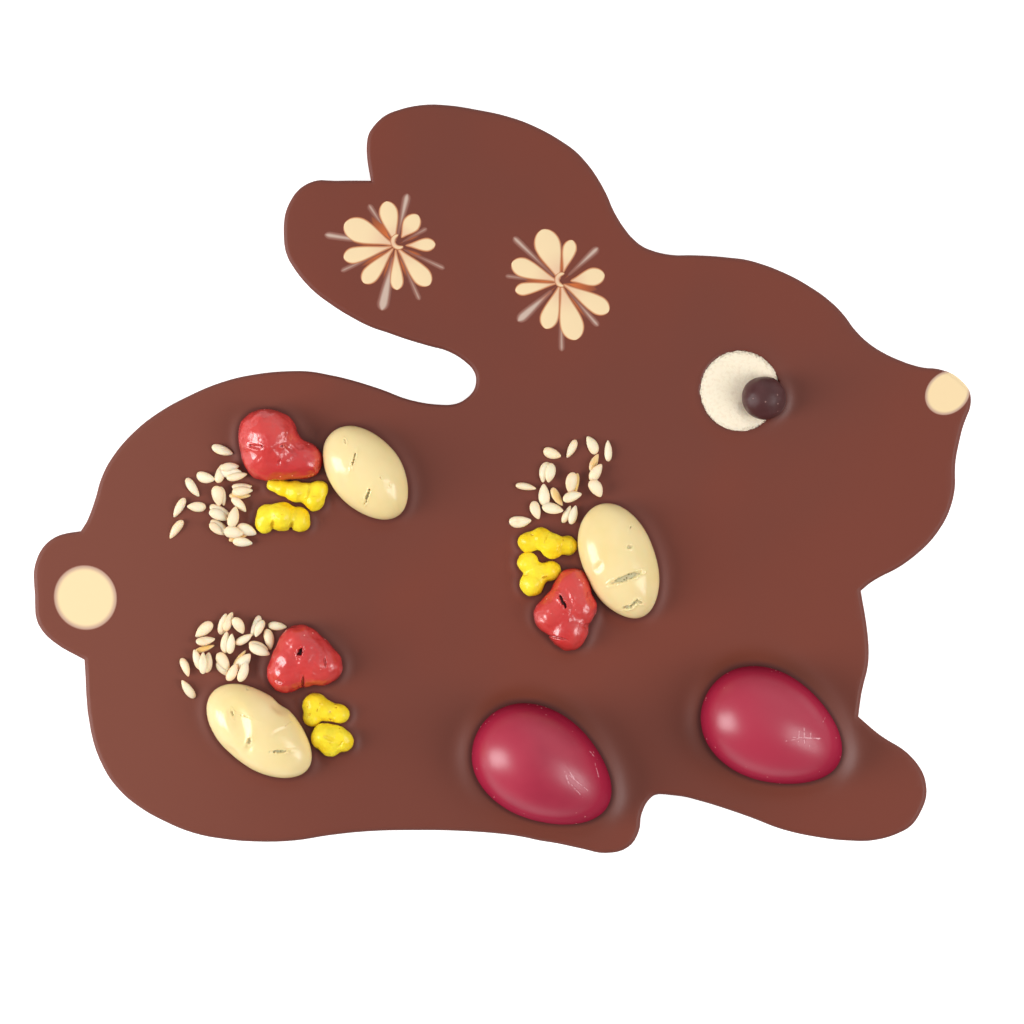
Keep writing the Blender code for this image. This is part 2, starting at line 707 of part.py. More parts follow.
def main():
    clear_scene()
    materials = make_materials()
    parts = make_collection("chocolate_bunny")
    pockets = make_collection("pockets")
    raised = make_collection("raised")

    add_ovals(parts, pockets, raised, materials)
    add_lobed(parts, pockets, raised, materials)
    add_eye(parts, pockets, raised, materials)
    add_dots(parts, pockets, materials)
    add_petals(raised)
    add_seeds(raised)

    slab = outline_solid("chocolate_slab", parts, SLAB_THICKNESS, rim=RIM_RADIUS)
    apply_boolean(slab, "UNION", raised)
    apply_boolean(slab, "DIFFERENCE", pockets)
    finish(slab, materials["milk_chocolate"])


main()
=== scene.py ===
"""Chocolate bunny: a flat milk chocolate figure with its toppings, finished for a picture.

It lies flat with its decorated side up, the nose towards +X and the ears towards +Y. Objects are in
metres. The tables give places and sizes in millimetres and headings in degrees from +X.
"""

import math
import random
from typing import NamedTuple

import bmesh
import bpy
from bpy.props import FloatProperty, FloatVectorProperty, IntProperty, PointerProperty
from mathutils import Matrix, Vector, noise


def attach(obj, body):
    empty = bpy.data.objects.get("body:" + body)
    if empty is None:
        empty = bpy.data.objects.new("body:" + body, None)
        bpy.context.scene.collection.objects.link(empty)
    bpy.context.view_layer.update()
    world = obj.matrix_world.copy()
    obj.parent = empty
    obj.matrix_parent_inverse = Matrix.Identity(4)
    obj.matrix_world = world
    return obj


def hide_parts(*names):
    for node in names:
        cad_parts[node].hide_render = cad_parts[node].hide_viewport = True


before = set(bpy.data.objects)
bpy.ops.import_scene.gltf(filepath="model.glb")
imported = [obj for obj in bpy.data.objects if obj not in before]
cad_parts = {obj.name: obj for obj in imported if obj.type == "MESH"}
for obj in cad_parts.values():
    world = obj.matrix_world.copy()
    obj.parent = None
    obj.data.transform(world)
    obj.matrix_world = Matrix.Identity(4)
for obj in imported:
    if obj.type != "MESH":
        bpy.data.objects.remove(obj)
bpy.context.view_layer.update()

bl_info = {
    "name": "Chocolate Bunny",
    "version": (1, 0, 0),
    "blender": (4, 5, 0),
    "location": "3D View > Sidebar > Chocolate Bunny",
    "description": "A flat chocolate figure with sugar eggs, candies, crunchy pieces and seeds",
    "category": "Add Mesh",
}

MM = 0.001
BODY = "root"
# How sharply the slab's outline turns where it has a corner
CORNER = math.radians(45)
# Points that lie no more than this under the slab's face, in millimetres, count as on it
FACE_TOLERANCE = 0.01
# How far to both sides the face is cut into squares, in millimetres
GRID_REACH = 65.0

# A sharp mark: how ragged its edge is and how large the notches are, in millimetres, and where
# its steep side and its stain are full, as shares of the way to its middle
RAGGEDNESS = 0.35
NOTCH = 0.35
STEEP_SIDE = 0.45
STAINED_SIDE = 0.4
# The lip round it: its height as a share of the mark's depth, the most depth that counts, and its
# distance from the edge, its breadth and its reach, in millimetres
LIP = 0.35
LIP_DEPTH = 0.2
LIP_DISTANCE = 0.14
LIP_BREADTH = 0.11
LIP_REACH = 0.5

ON_ITS_SIDE = Matrix.Rotation(math.pi / 2, 4, "Y")

# The sides and rings of each kind of ball that a piece starts from
OVAL_MESH = (128, 96)
LOBED_MESH = (112, 80)
DISC_MESH = (256, 96)
PEARL_MESH = (96, 64)
STREAK_MESH = (40, 32)


class Oval(NamedTuple):
    """An oval topping: its middle, size and the heading of its narrow end."""

    x: float
    y: float
    z: float
    length: float
    width: float
    height: float
    heading: float


class Mark(NamedTuple):
    """A dent or crack in a topping's upper side. An edge of 0 is soft, and of 1 sharp."""

    x: float
    y: float
    heading: float
    length: float
    width: float
    depth: float
    edge: float
    stain: float


class Drift(NamedTuple):
    """Seeds strewn over an ellipse, lying along a heading but for a wander to either side."""

    x: float
    y: float
    half_length: float
    half_width: float
    count: int
    heading: float
    wander: float
    toasted: int = 0


class Meniscus(NamedTuple):
    """How chocolate climbs a topping: its rise and spread, how dark the painted contact shade
    is, and how far within the topping's outline seen from above the chocolate ends."""

    rise: float
    spread: float
    shade: float
    tuck: float


class Softbox(NamedTuple):
    """A lamp: its bearing, its tip from straight up, its distance from the part and its size."""

    bearing: float
    tip: float
    distance: float
    width: float
    height: float


# The unevenness of each kind of topping: its height and its size, in millimetres
EGG_UNEVENNESS = (0.06, 7.0)
CANDY_UNEVENNESS = (0.22, 6.5)
CRUNCH_LUMPS = (0.22, 1.7)
CRUNCH_GRAIN = (0.06, 0.6)
PEARL_UNEVENNESS = (0.1, 1.8)

# Where the painted shade round an egg's waist fades, as a share of the way from its widest line to
# its top
WAIST_FADE = (0.05, 0.75)
# How dark the painted shade on a red piece's steep sides is, and between which steepnesses, from
# level 1 to upright 0
SIDE_SHADE_DEPTH = 0.85
SIDE_SHADE_FADE = (0.05, 0.75)

EGG_TAPER = 0.165
EGGS = {
    "egg_belly": Oval(6.75, -47.7, 10.0, 24.8, 17.8, 17.8, -32.0),
    "egg_chest": Oval(44.6, -41.3, 10.0, 24.6, 17.8, 17.8, -27.5),
}

# The scratches are real shallow grooves; their stain paints a glint on them
EGG_MARKS = {
    "egg_belly": (
        Mark(11.6, -49.0, -55, 3.4, 0.16, 0.03, 0.6, 0.7),
        Mark(12.3, -49.8, -40, 3.0, 0.14, 0.03, 0.6, 0.6),
        Mark(10.7, -49.4, -70, 1.6, 0.12, 0.02, 0.6, 0.5),
        Mark(12.2, -51.2, -50, 2.2, 0.14, 0.03, 0.6, 0.5),
        Mark(15.6, -48.2, -75, 2.6, 0.14, 0.03, 0.6, 0.4),
        Mark(14.8, -45.4, -50, 1.4, 0.12, 0.02, 0.6, 0.4),
    ),
    "egg_chest": (
        Mark(49.9, -42.6, -4, 4.6, 0.16, 0.03, 0.6, 0.75),
        Mark(48.6, -42.4, 86, 1.7, 0.14, 0.03, 0.6, 0.6),
        Mark(49.5, -42.2, 92, 2.4, 0.12, 0.03, 0.6, 0.6),
        Mark(50.5, -42.5, 84, 1.6, 0.14, 0.03, 0.6, 0.5),
        Mark(47.4, -42.9, 10, 1.6, 0.12, 0.02, 0.6, 0.4),
        Mark(52.6, -40.2, 60, 1.4, 0.12, 0.02, 0.6, 0.3),
    ),
}

CANDY_TAPER = 0.05
CANDIES = {
    "cream_candy_back": Oval(-22.5, 0.9, 8.6, 17.5, 11.6, 9.4, -51.0),
    "cream_candy_rump": Oval(-40.2, -41.8, 8.6, 20.1, 11.8, 9.6, -39.0),
    "cream_candy_shoulder": Oval(19.3, -13.65, 8.6, 19.9, 12.1, 9.6, -68.5),
}
CANDY_MARKS = {
    "cream_candy_back": (
        Mark(-24.5, 3.1, 74, 2.2, 0.34, 0.4, 1.0, 0.7),
        Mark(-22.2, -2.9, 70, 2.5, 0.5, 0.5, 1.0, 1.0),
        Mark(-25.9, 6.1, 110, 0.6, 0.3, 0.2, 0.8, 0.6),
        Mark(-20.0, 0.1, 130, 0.5, 0.25, 0.15, 0.8, 0.4),
        Mark(-18.6, -1.2, 60, 0.3, 0.25, 0.12, 0.8, 0.3),
    ),
    "cream_candy_rump": (
        Mark(-36.7, -45.0, 2, 2.9, 0.5, 0.45, 1.0, 1.0),
        Mark(-44.6, -38.6, 100, 1.2, 0.4, 0.3, 0.8, 0.6),
        Mark(-42.4, -39.1, -21, 2.0, 0.2, 0.15, 0.7, 0.3),
        Mark(-41.7, -43.4, 75, 1.5, 0.8, 0.4, 0.8, 0.7),
        Mark(-35.3, -40.4, 35, 0.9, 0.25, 0.15, 0.8, 0.5),
        Mark(-42.1, -34.8, 0, 0.4, 0.35, 0.2, 0.8, 0.9),
        Mark(-43.3, -40.2, -72, 8.4, 4.6, 0.75, 0.0, 0.0),
        Mark(-41.8, -44.4, 60, 3.0, 1.8, 0.35, 0.0, 0.0),
        Mark(-36.9, -37.6, -45, 4.4, 2.6, 0.5, 0.0, 0.0),
        Mark(-36.4, -41.6, 25, 4.6, 1.6, 0.2, 0.0, 0.0),
        Mark(-44.6, -45.0, -40, 4.0, 1.6, 0.2, 0.0, 0.0),
    ),
    "cream_candy_shoulder": (
        Mark(20.4, -16.4, 21, 5.9, 1.2, 0.55, 1.0, 1.0),
        Mark(20.5, -21.3, 8, 1.9, 0.6, 0.4, 1.0, 0.95),
        Mark(21.5, -20.85, 45, 1.7, 0.6, 0.4, 1.0, 0.95),
        Mark(22.5, -20.4, -27, 1.3, 0.5, 0.3, 1.0, 0.8),
        Mark(20.9, -11.3, 20, 1.1, 0.6, 0.3, 0.7, 0.7),
        Mark(21.1, -8.1, 60, 0.7, 0.25, 0.2, 0.8, 0.6),
        Mark(15.8, -14.6, 60, 2.6, 1.4, 0.2, 0.0, 0.0),
    ),
}

# Lobed toppings: each lobe's x, y, height of its middle over the chocolate's face, and radius
LOBE_REACH = 12.0
LOBE_STEPS = 16
RED_LOBES = {
    "red_crunch_back": (
        (-38.25, 6.85, 1.7, 4.35),
        (-40.2, 6.0, 1.2, 2.65),
        (-40.6, 8.3, 1.0, 2.2),
        (-39.4, 2.8, 1.2, 3.05),
        (-32.55, 2.95, 1.2, 2.85),
        (-35.8, 2.9, 1.5, 2.7),
    ),
    "red_crunch_rump": (
        (-33.5, -27.4, 1.3, 3.2),
        (-35.2, -30.1, 1.3, 2.55),
        (-35.9, -32.5, 1.2, 2.9),
        (-29.4, -31.0, 1.2, 2.95),
        (-32.0, -31.0, 1.5, 2.6),
        (-31.3, -28.7, 1.2, 2.2),
    ),
    "red_crunch_shoulder": (
        (11.65, -17.5, 1.2, 2.65),
        (7.95, -22.6, 1.2, 2.75),
        (10.4, -20.4, 1.5, 2.5),
        (12.9, -21.3, 1.4, 2.55),
        (11.0, -25.4, 1.1, 3.0),
    ),
}
# A mark's stain paints shade in the red pieces' holes and pits
RED_MARKS = {
    "red_crunch_back": (
        Mark(-36.3, 5.3, 20, 0.5, 0.35, 0.2, 0.7, 0.5),
        Mark(-40.6, 5.2, -8, 3.2, 1.1, 0.3, 0.2, 0.1),
        Mark(-41.6, 5.3, 60, 0.5, 0.25, 0.15, 0.8, 0.5),
        Mark(-39.6, 5.2, 110, 0.6, 0.3, 0.15, 0.8, 0.5),
        Mark(-36.8, 2.6, 70, 1.3, 0.7, 0.15, 0.4, 0.15),
        Mark(-33.2, 5.1, 30, 1.6, 1.0, 0.1, 0.3, 0.05),
        Mark(-35.6, 7.4, 80, 1.2, 0.5, 0.12, 0.5, 0.1),
        Mark(-34.9, 4.9, -38, 5.0, 1.2, 0.3, 0.0, 0.05),
    ),
    "red_crunch_rump": (
        Mark(-33.4, -28.7, 65, 1.6, 0.85, 0.8, 1.0, 1.0),
        Mark(-33.2, -28.3, 60, 4.4, 3.4, 0.3, 0.0, 0.0),
        Mark(-29.2, -30.3, 95, 2.2, 0.6, 0.3, 0.5, 0.15),
        Mark(-36.9, -33.5, -30, 1.5, 0.9, 0.2, 0.5, 0.2),
        Mark(-32.9, -33.6, 85, 2.4, 0.6, 0.4, 0.4, 0.25),
        Mark(-35.4, -27.4, 60, 3.6, 1.4, 0.15, 0.0, 0.0),
    ),
    "red_crunch_shoulder": (
        Mark(9.9, -20.3, -62, 2.7, 0.65, 0.6, 1.0, 1.0),
        Mark(10.9, -20.0, -65, 4.6, 2.0, 0.35, 0.1, 0.0),
        Mark(9.0, -26.3, -12, 4.6, 0.5, 0.35, 0.3, 0.25),
        Mark(13.9, -24.3, 20, 1.8, 0.9, 0.15, 0.4, 0.1),
        Mark(14.2, -19.1, 75, 1.4, 0.6, 0.1, 0.4, 0.1),
    ),
}
YELLOW_LOBES = {
    "yellow_crunch_back_upper": (
        (-38.0, -1.1, 0.4, 1.0),
        (-36.3, -1.55, 0.6, 1.35),
        (-34.2, -2.1, 0.8, 1.8),
        (-30.4, -1.85, 0.7, 1.55),
        (-31.1, -3.6, 0.7, 1.7),
        (-32.3, -2.45, 0.7, 1.6),
    ),
    "yellow_crunch_back_lower": (
        (-39.0, -6.1, 0.7, 1.7),
        (-39.4, -7.4, 0.6, 1.6),
        (-36.45, -6.25, 1.1, 2.35),
        (-33.65, -6.4, 0.7, 1.6),
        (-33.4, -7.4, 0.6, 1.5),
    ),
    "yellow_crunch_rump_upper": (
        (-31.0, -37.4, 0.6, 2.0),
        (-29.1, -38.4, 0.5, 1.7),
        (-26.9, -38.9, 0.5, 1.65),
        (-31.5, -39.6, 0.4, 1.5),
    ),
    "yellow_crunch_rump_lower": (
        (-29.4, -42.65, 1.3, 2.25),
        (-27.3, -42.75, 1.2, 1.85),
        (-26.2, -43.6, 1.0, 1.6),
        (-28.4, -44.1, 1.0, 1.8),
    ),
    "yellow_crunch_shoulder_upper": (
        (4.3, -10.5, 0.6, 1.7),
        (6.3, -9.9, 0.8, 1.8),
        (8.3, -11.25, 0.9, 2.0),
        (10.8, -11.1, 0.6, 1.65),
    ),
    "yellow_crunch_shoulder_lower": (
        (4.2, -13.9, 0.6, 1.75),
        (8.0, -15.25, 0.6, 1.65),
        (5.85, -15.7, 0.8, 1.75),
        (4.9, -17.45, 0.8, 2.05),
    ),
}
# A mark's stain paints shade in the creases between yellow lobes
YELLOW_MARKS = {
    "yellow_crunch_back_upper": (
        Mark(-32.4, -3.2, 30, 0.35, 0.22, 0.12, 0.8, 0.8),
        Mark(-32.0, -2.4, 78, 3.2, 0.8, 0.3, 0.0, 0.12),
        Mark(-30.6, -2.8, 5, 2.4, 0.6, 0.15, 0.0, 0.05),
    ),
    "yellow_crunch_back_lower": (
        Mark(-38.0, -7.8, 80, 2.2, 0.9, 0.4, 0.1, 0.3),
        Mark(-34.9, -8.0, 75, 2.2, 0.9, 0.4, 0.1, 0.35),
        Mark(-36.3, -5.9, 0, 0.8, 0.4, 0.1, 0.3, 0.2),
    ),
    "yellow_crunch_rump_upper": (
        Mark(-30.6, -38.3, 80, 0.7, 0.3, 0.15, 0.6, 0.6),
        Mark(-27.4, -37.8, 10, 0.45, 0.3, 0.2, 0.8, 0.9),
        Mark(-28.2, -39.9, -15, 1.1, 0.3, 0.2, 0.7, 0.7),
        Mark(-31.9, -39.0, 50, 0.7, 0.5, 0.15, 0.4, 0.5),
        Mark(-30.1, -37.1, 0, 0.25, 0.25, 0.06, 0.8, 0.6),
    ),
    "yellow_crunch_rump_lower": (
        Mark(-28.6, -42.9, -25, 2.6, 1.1, 0.3, 0.0, 0.2),
        Mark(-26.6, -43.8, 60, 1.6, 0.6, 0.2, 0.1, 0.1),
    ),
    "yellow_crunch_shoulder_upper": (
        Mark(4.9, -9.3, -15, 0.8, 0.25, 0.12, 0.5, 0.5),
        Mark(9.6, -11.6, 80, 2.0, 0.7, 0.2, 0.0, 0.12),
        Mark(7.2, -9.9, 70, 2.2, 0.5, 0.15, 0.1, 0.1),
    ),
    "yellow_crunch_shoulder_lower": (
        Mark(7.0, -16.3, 15, 1.3, 0.4, 0.25, 0.5, 0.8),
        Mark(3.9, -15.9, 10, 1.2, 0.5, 0.2, 0.2, 0.35),
    ),
}

# How far towards the tail the painted sheen on the slab starts, and where it is palest
TAIL_SHEEN_SIDE = (22.0, 66.0)

# How far the face sinks under a topping, out of sight
SINK = 1.4

EYE_DISC = Oval(39.3, 14.5, 6.6, 13.3, 13.3, 1.5, 0.0)
# The disc is a ball that swells to a tablet. The smaller these powers, the fuller its outline and
# the flatter its faces
DISC_OUTLINE = 0.22
DISC_FLATNESS = 0.3
# The grains of the disc's edge: each kind's size in millimetres and its share
DISC_GRAINS = ((0.22, 0.6), (0.7, 0.5))
# The grains of its face: their size and height, in millimetres
FACE_GRAIN = (0.35, 0.03)
# How deep the pearl presses the disc's face, and how dark the painted shade round it is. Each
# fades between two distances from the pearl
PRESSED = 0.3
PRESSED_FADE = (-0.4, 1.6)
PEARL_SHADE = 0.4
PEARL_SHADE_FADE = (0.0, 0.8)
EYE_PEARL = Oval(43.2, 13.3, 8.5, 7.3, 7.2, 7.3, 0.0)
TAIL_DOT = Oval(-69.0, -19.7, 7.0, 10.9, 10.5, 1.5, -64.0)
NOSE_DOT = Oval(73.65, 14.2, 7.0, 8.2, 6.9, 1.5, 42.0)

# Flowers: the middle, then each petal's heading, reach and width, and each wisp's heading, reach,
# width and the distance from the middle where it starts to show
FLOWERS = (
    (
        (-17.7, 38.5),
        (
            (157, 9.1, 4.1),
            (102, 7.4, 3.1),
            (54, 6.2, 2.9),
            (2, 6.5, 2.2),
            (-49, 8.5, 3.1),
            (-88, 7.2, 2.2),
            (-131, 8.0, 2.8),
            (-167, 8.7, 2.7),
        ),
        (
            (171, 11.9, 1.2, 1.2),
            (123, 8.2, 0.9, 1.6),
            (77, 8.9, 1.3, 1.6),
            (29, 6.0, 0.7, 1.2),
            (-25, 9.0, 0.8, 1.4),
            (-66, 9.9, 0.8, 1.6),
            (-102, 11.0, 1.9, 1.8),
            (-155, 10.0, 0.8, 1.4),
        ),
    ),
    (
        (9.6, 32.4),
        (
            (109, 9.2, 4.3),
            (75, 7.2, 2.3),
            (10, 7.3, 3.0),
            (-31, 9.2, 3.1),
            (-75, 9.7, 3.9),
            (-108, 7.9, 3.0),
            (-170, 7.5, 2.1),
            (158, 8.6, 3.2),
        ),
        (
            (136, 10.9, 1.1, 1.4),
            (91, 6.8, 0.6, 1.4),
            (43, 8.6, 1.2, 1.6),
            (-49, 9.6, 1.0, 1.6),
            (-89, 11.4, 0.9, 1.6),
            (-138, 9.6, 1.7, 1.8),
            (173, 9.2, 0.7, 1.4),
        ),
    ),
)

# Where a petal starts, and where it does on the hook's side, within so many degrees of the hook
PETAL_START = 0.4
HOOKED_START = 1.6
HOOKED_SIDE = 50
# How much longer and wider a petal is, and how much wider a wisp, for the edge that fades out
PETAL_FRINGE = (0.12, 0.25)
WISP_FRINGE = 0.3

# An orange streak between two petals: its start, its reach as a share of the shorter petal's, its
# width, and the width of a broad one. The broad ones come before the petals of these numbers
SMEAR_START = 0.3
SMEAR_REACH = 0.9
SMEAR_WIDTH = 1.25
BROAD_SMEAR_WIDTH = 2.0
BROAD_SMEARS = ((1,), (1, 3, 7))

# Where the two petals beside a flower's gap run into each other: the hook's middle from the
# flower's, its radius, its first heading and how far it turns
HOOKS = ((0.62, 0.75, 1.05, 95, 215), (0.41, 0.48, 1.0, 75, 205))
HOOK_WIDTH = 0.95

# How high each kind of streak stands, as a share of a petal's height
STREAK_RISE = {"smears": 0.3, "wisps": 0.6, "petals": 1.0, "hooks": 2.4}
# Where a streak is widest: at this share of its length if it is pointed, and otherwise at this
# share of its width before its round end. It flares to there between these shares of the way
SHOULDER = 0.62
FLARE = (-0.12, 1.05)
# How fast a pointed end narrows, and the share of a streak's length in which its start opens
POINT_POWER = 1.1
OPENING = 0.06

SEED_LENGTH = (3.1, 3.8)
SEED_WIDTH = (1.4, 2.05)
SEED_LIFT = 0.35
# Height of the lowest seed's middle over the face
SEED_BED = 0.27
# How much a seed bends to its side, and how much narrower its tip is than its taper makes it
SEED_BEND = 0.16
SEED_TIP = 0.16
# How plump seeds are, as a share of their width. The toasted ones are thin
SEED_PLUMPNESS = (0.82, 1.12)
TOASTED_PLUMPNESS = 0.68
# How far a seed tips lengthwise and rolls sideways at most, in degrees
SEED_TIP_UP = 12
SEED_ROLL = 18
# Two seeds come no nearer than the squeeze, as a share of their widths, and nearer than the lap
# the later one lies on the other, a step higher
SEED_SQUEEZE = 0.35
SEED_LAP = 0.85
SEED_STEP = 0.55
SEED_LEVELS = 3
SEED_TRIES = 400
SEED_DRAW = 20
DRIFTS = (
    Drift(-46.4, 4.7, 0.1, 0.1, 1, -20, 0),
    Drift(-46.8, 0.9, 0.2, 0.2, 1, 75, 5),
    Drift(-43.9, 1.3, 1.6, 1.1, 3, 8, 15),
    Drift(-49.0, 0.1, 0.2, 0.2, 1, -15, 5),
    Drift(-51.4, -1.4, 0.2, 0.2, 1, -60, 5),
    Drift(-47.2, -2.9, 1.1, 0.5, 2, -70, 12),
    Drift(-43.2, -2.0, 0.6, 1.2, 3, 5, 6, 1),
    Drift(-43.9, -4.0, 0.6, 0.5, 1, -40, 10),
    Drift(-53.6, -4.7, 0.2, 0.2, 1, 245, 5),
    Drift(-50.6, -4.6, 0.2, 0.2, 1, 180, 5),
    Drift(-47.0, -5.4, 0.3, 0.7, 2, -22, 10),
    Drift(-44.5, -6.3, 0.2, 0.2, 1, 80, 5),
    Drift(-54.1, -8.5, 0.2, 0.2, 1, 230, 5),
    Drift(-46.2, -8.1, 1.1, 0.8, 2, -45, 25),
    Drift(-43.6, -8.5, 1.7, 1.4, 3, 20, 60, 1),
    Drift(-43.0, -10.3, 0.4, 0.3, 1, -10, 5),
    Drift(-49.3, -25.1, 0.2, 0.2, 1, 225, 5),
    Drift(-46.0, -23.7, 0.8, 0.4, 2, 70, 10),
    Drift(-43.4, -24.2, 0.2, 0.2, 1, -60, 5),
    Drift(-40.7, -24.6, 0.9, 0.2, 2, 255, 10),
    Drift(-37.2, -24.6, 0.2, 0.2, 1, -5, 5),
    Drift(-49.4, -27.6, 0.5, 1.0, 2, 10, 10, 1),
    Drift(-45.6, -27.3, 1.0, 0.3, 2, 82, 5),
    Drift(-42.8, -26.5, 0.2, 0.2, 1, 25, 5),
    Drift(-38.5, -26.6, 0.2, 0.2, 1, -75, 5),
    Drift(-40.2, -28.4, 0.2, 0.9, 2, -22, 4),
    Drift(-52.3, -31.2, 0.2, 0.2, 1, -70, 5),
    Drift(-49.5, -30.1, 1.4, 0.4, 3, 80, 30),
    Drift(-43.0, -29.2, 0.7, 1.2, 2, 50, 6, 1),
    Drift(-46.1, -30.6, 0.4, 1.1, 2, -55, 6),
    Drift(-43.7, -31.9, 1.1, 0.9, 2, 65, 6),
    Drift(-51.9, -34.9, 0.2, 0.2, 1, 120, 5),
    Drift(-46.8, -33.4, 0.4, 0.3, 1, 165, 5),
    Drift(8.3, 4.0, 0.2, 0.2, 1, -20, 4),
    Drift(11.6, 4.9, 0.2, 0.2, 1, 245, 4),
    Drift(15.0, 5.5, 0.2, 0.2, 1, 115, 4),
    Drift(17.4, 4.4, 0.2, 0.2, 1, 95, 4),
    Drift(8.0, 1.1, 1.1, 0.3, 2, 258, 4),
    Drift(15.2, 1.5, 0.4, 1.2, 2, 65, 10, 1),
    Drift(3.8, -1.4, 0.2, 0.2, 1, -10, 4),
    Drift(6.7, -2.7, 0.2, 0.2, 1, 95, 4),
    Drift(8.9, -3.1, 0.2, 0.2, 1, -60, 4, 1),
    Drift(12.1, -0.9, 1.0, 0.2, 2, 262, 5, 1),
    Drift(15.4, -1.5, 0.2, 0.2, 1, -55, 4),
    Drift(11.6, -2.9, 0.2, 0.2, 1, 15, 4),
    Drift(5.6, -5.3, 0.2, 0.2, 1, -75, 4),
    Drift(8.3, -4.8, 0.2, 0.2, 1, -15, 4),
    Drift(11.0, -5.3, 1.0, 1.0, 2, 75, 30),
    Drift(2.9, -7.0, 0.2, 0.2, 1, 5, 4),
)

MENISCUS = {
    "egg": Meniscus(0.8, 2.3, 1.0, 0.7),
    "cream_candy": Meniscus(0.4, 1.5, 0.6, 0.5),
    "red_crunch": Meniscus(0.4, 1.3, 0.7, 0.4),
    "yellow_crunch": Meniscus(0.35, 1.1, 0.6, 0.3),
    "eye_disc": Meniscus(0.25, 1.6, 0.2, 0.0),
    "eye_pearl": Meniscus(0.35, 1.1, 0.5, 0.5),
}
# The chocolate climbs within this many spreads of a topping, and its mesh is finer within these
CLIMB_REACH = 4
FINE_REACH = 2.5
# The distances from a topping between which the painted contact shade fades, in millimetres
CONTACT_SHADE_FADE = (0.1, 1.0)
# How far inwards the face goes on sinking under a topping
SINK_SLOPE = 0.5
# Painted bounce light: the warm colour that an egg casts on the chocolate on its ears' side. Its
# distance from the egg and its breadth, in millimetres, and how far round the egg it shows
BOUNCE_DISTANCE = 1.2
BOUNCE_BREADTH = 1.5
BOUNCE_SIDE = (0.1, 0.9)

# What the lamps point at, in millimetres, and the lamps, in degrees and metres
AIM = (0.0, 0.0, 7.0)
SOFTBOXES = {
    "left_softbox": Softbox(189, 62, 0.64, 0.3, 0.42),
    "right_softbox": Softbox(-17, 50, 0.8, 0.42, 0.42),
    "upper_softbox": Softbox(50, 30, 1.0, 0.9, 0.9),
}
# The sky's light by height, and by how near its direction is to a window's. The four numbers are
# the span of the height or nearness, and the span of light that it gives
WINDOW_WAY = (0.5, 0.87, 0.0)
HORIZON_LIGHT = (0.0, 0.32, 0.03, 0.38)
ROOM_LIGHT = (-0.8, 0.3, 0.45, 1.0)
WINDOW_LIGHT = (0.55, 0.95, 1.0, 2.0)

# The camera's place over the part and the width that it sees there, in millimetres
CAMERA_SPOT = (1.57, -5.54)
SEEN_WIDTH = 169.39
SENSOR_WIDTH = 36.0


def srgb(red, green, blue):
    """A colour in linear values from the usual 0 to 255 ones."""
    shades = []
    for value in (red, green, blue):
        share = value / 255
        shades.append(share / 12.92 if share <= 0.04045 else ((share + 0.055) / 1.055) ** 2.4)
    return tuple(shades)


def colour_property(name, description, rgb):
    return FloatVectorProperty(
        name=name, description=description, default=srgb(*rgb), subtype="COLOR", min=0.0, max=1.0
    )


def size_property(name, description, millimetres):
    return FloatProperty(
        name=name, description=description, default=millimetres * MM, unit="LENGTH", min=0.0
    )


def share_property(name, description, default):
    return FloatProperty(
        name=name, description=description, default=default, subtype="FACTOR", min=0.0, max=1.0
    )


class SlabSettings(bpy.types.PropertyGroup):
    thickness: size_property("Thickness", "Height of the flat face over the table", 7.0)
    rim: size_property("Rim", "Radius of the rounded upper and lower rims", 0.7)
    pitch: size_property("Pitch", "Mesh size of the flat face", 1.25)
    wave: size_property("Wave", "Height of the gentle unevenness of the poured face", 0.05)
    wave_size: size_property("Wave size", "Width of the unevenness", 14.0)
    colour: colour_property("Colour", "Milk chocolate", (115, 57, 43))
    ruddy: colour_property("Ruddy colour", "Warmer patches of the chocolate", (121, 57, 41))
    # Painted sheen: paler chocolate towards the tail, where the left light falls
    tail_sheen: colour_property("Paler colour", "Chocolate towards the tail", (123, 66, 51))
    # Painted shade: darker chocolate right beside a topping, where its shadow falls
    contact_shade: colour_property("Contact colour", "Chocolate right beside a topping", (86, 34, 28))
    # Painted bounce light that an egg throws on the chocolate beside it
    egg_bounce: colour_property("Glow colour", "Chocolate that an egg casts its colour on", (112, 46, 24))


class EggSettings(bpy.types.PropertyGroup):
    colour: colour_property("Colour", "Crimson glaze", (178, 48, 72))
    deep: colour_property("Deep colour", "Darker patches of the glaze", (164, 38, 64))
    # Painted shade round an egg's widest line, where the glaze turns from the lamps
    waist: colour_property("Waist colour", "The glaze round an egg's widest line", (140, 22, 50))
    speck: colour_property("Speck colour", "Pale specks round the widest line", (226, 150, 150))
    # Painted glint on the fine scratches in the glaze
    scratch_glint: colour_property("Scratch colour", "Fine scratches in the glaze", (246, 186, 194))
    roughness: share_property("Roughness", "How dull the glaze is", 0.4)


class CandySettings(bpy.types.PropertyGroup):
    colour: colour_property("Colour", "Cream coating", (251, 226, 168))
    deep: colour_property("Deep colour", "Greener patches of the coating", (243, 219, 154))
    inside: colour_property("Inside colour", "What shows in a crack", (206, 197, 158))
    crumb: colour_property("Crumb colour", "Darker crumbs in a crack", (144, 132, 88))
    roughness: share_property("Roughness", "How dull the coating is", 0.2)


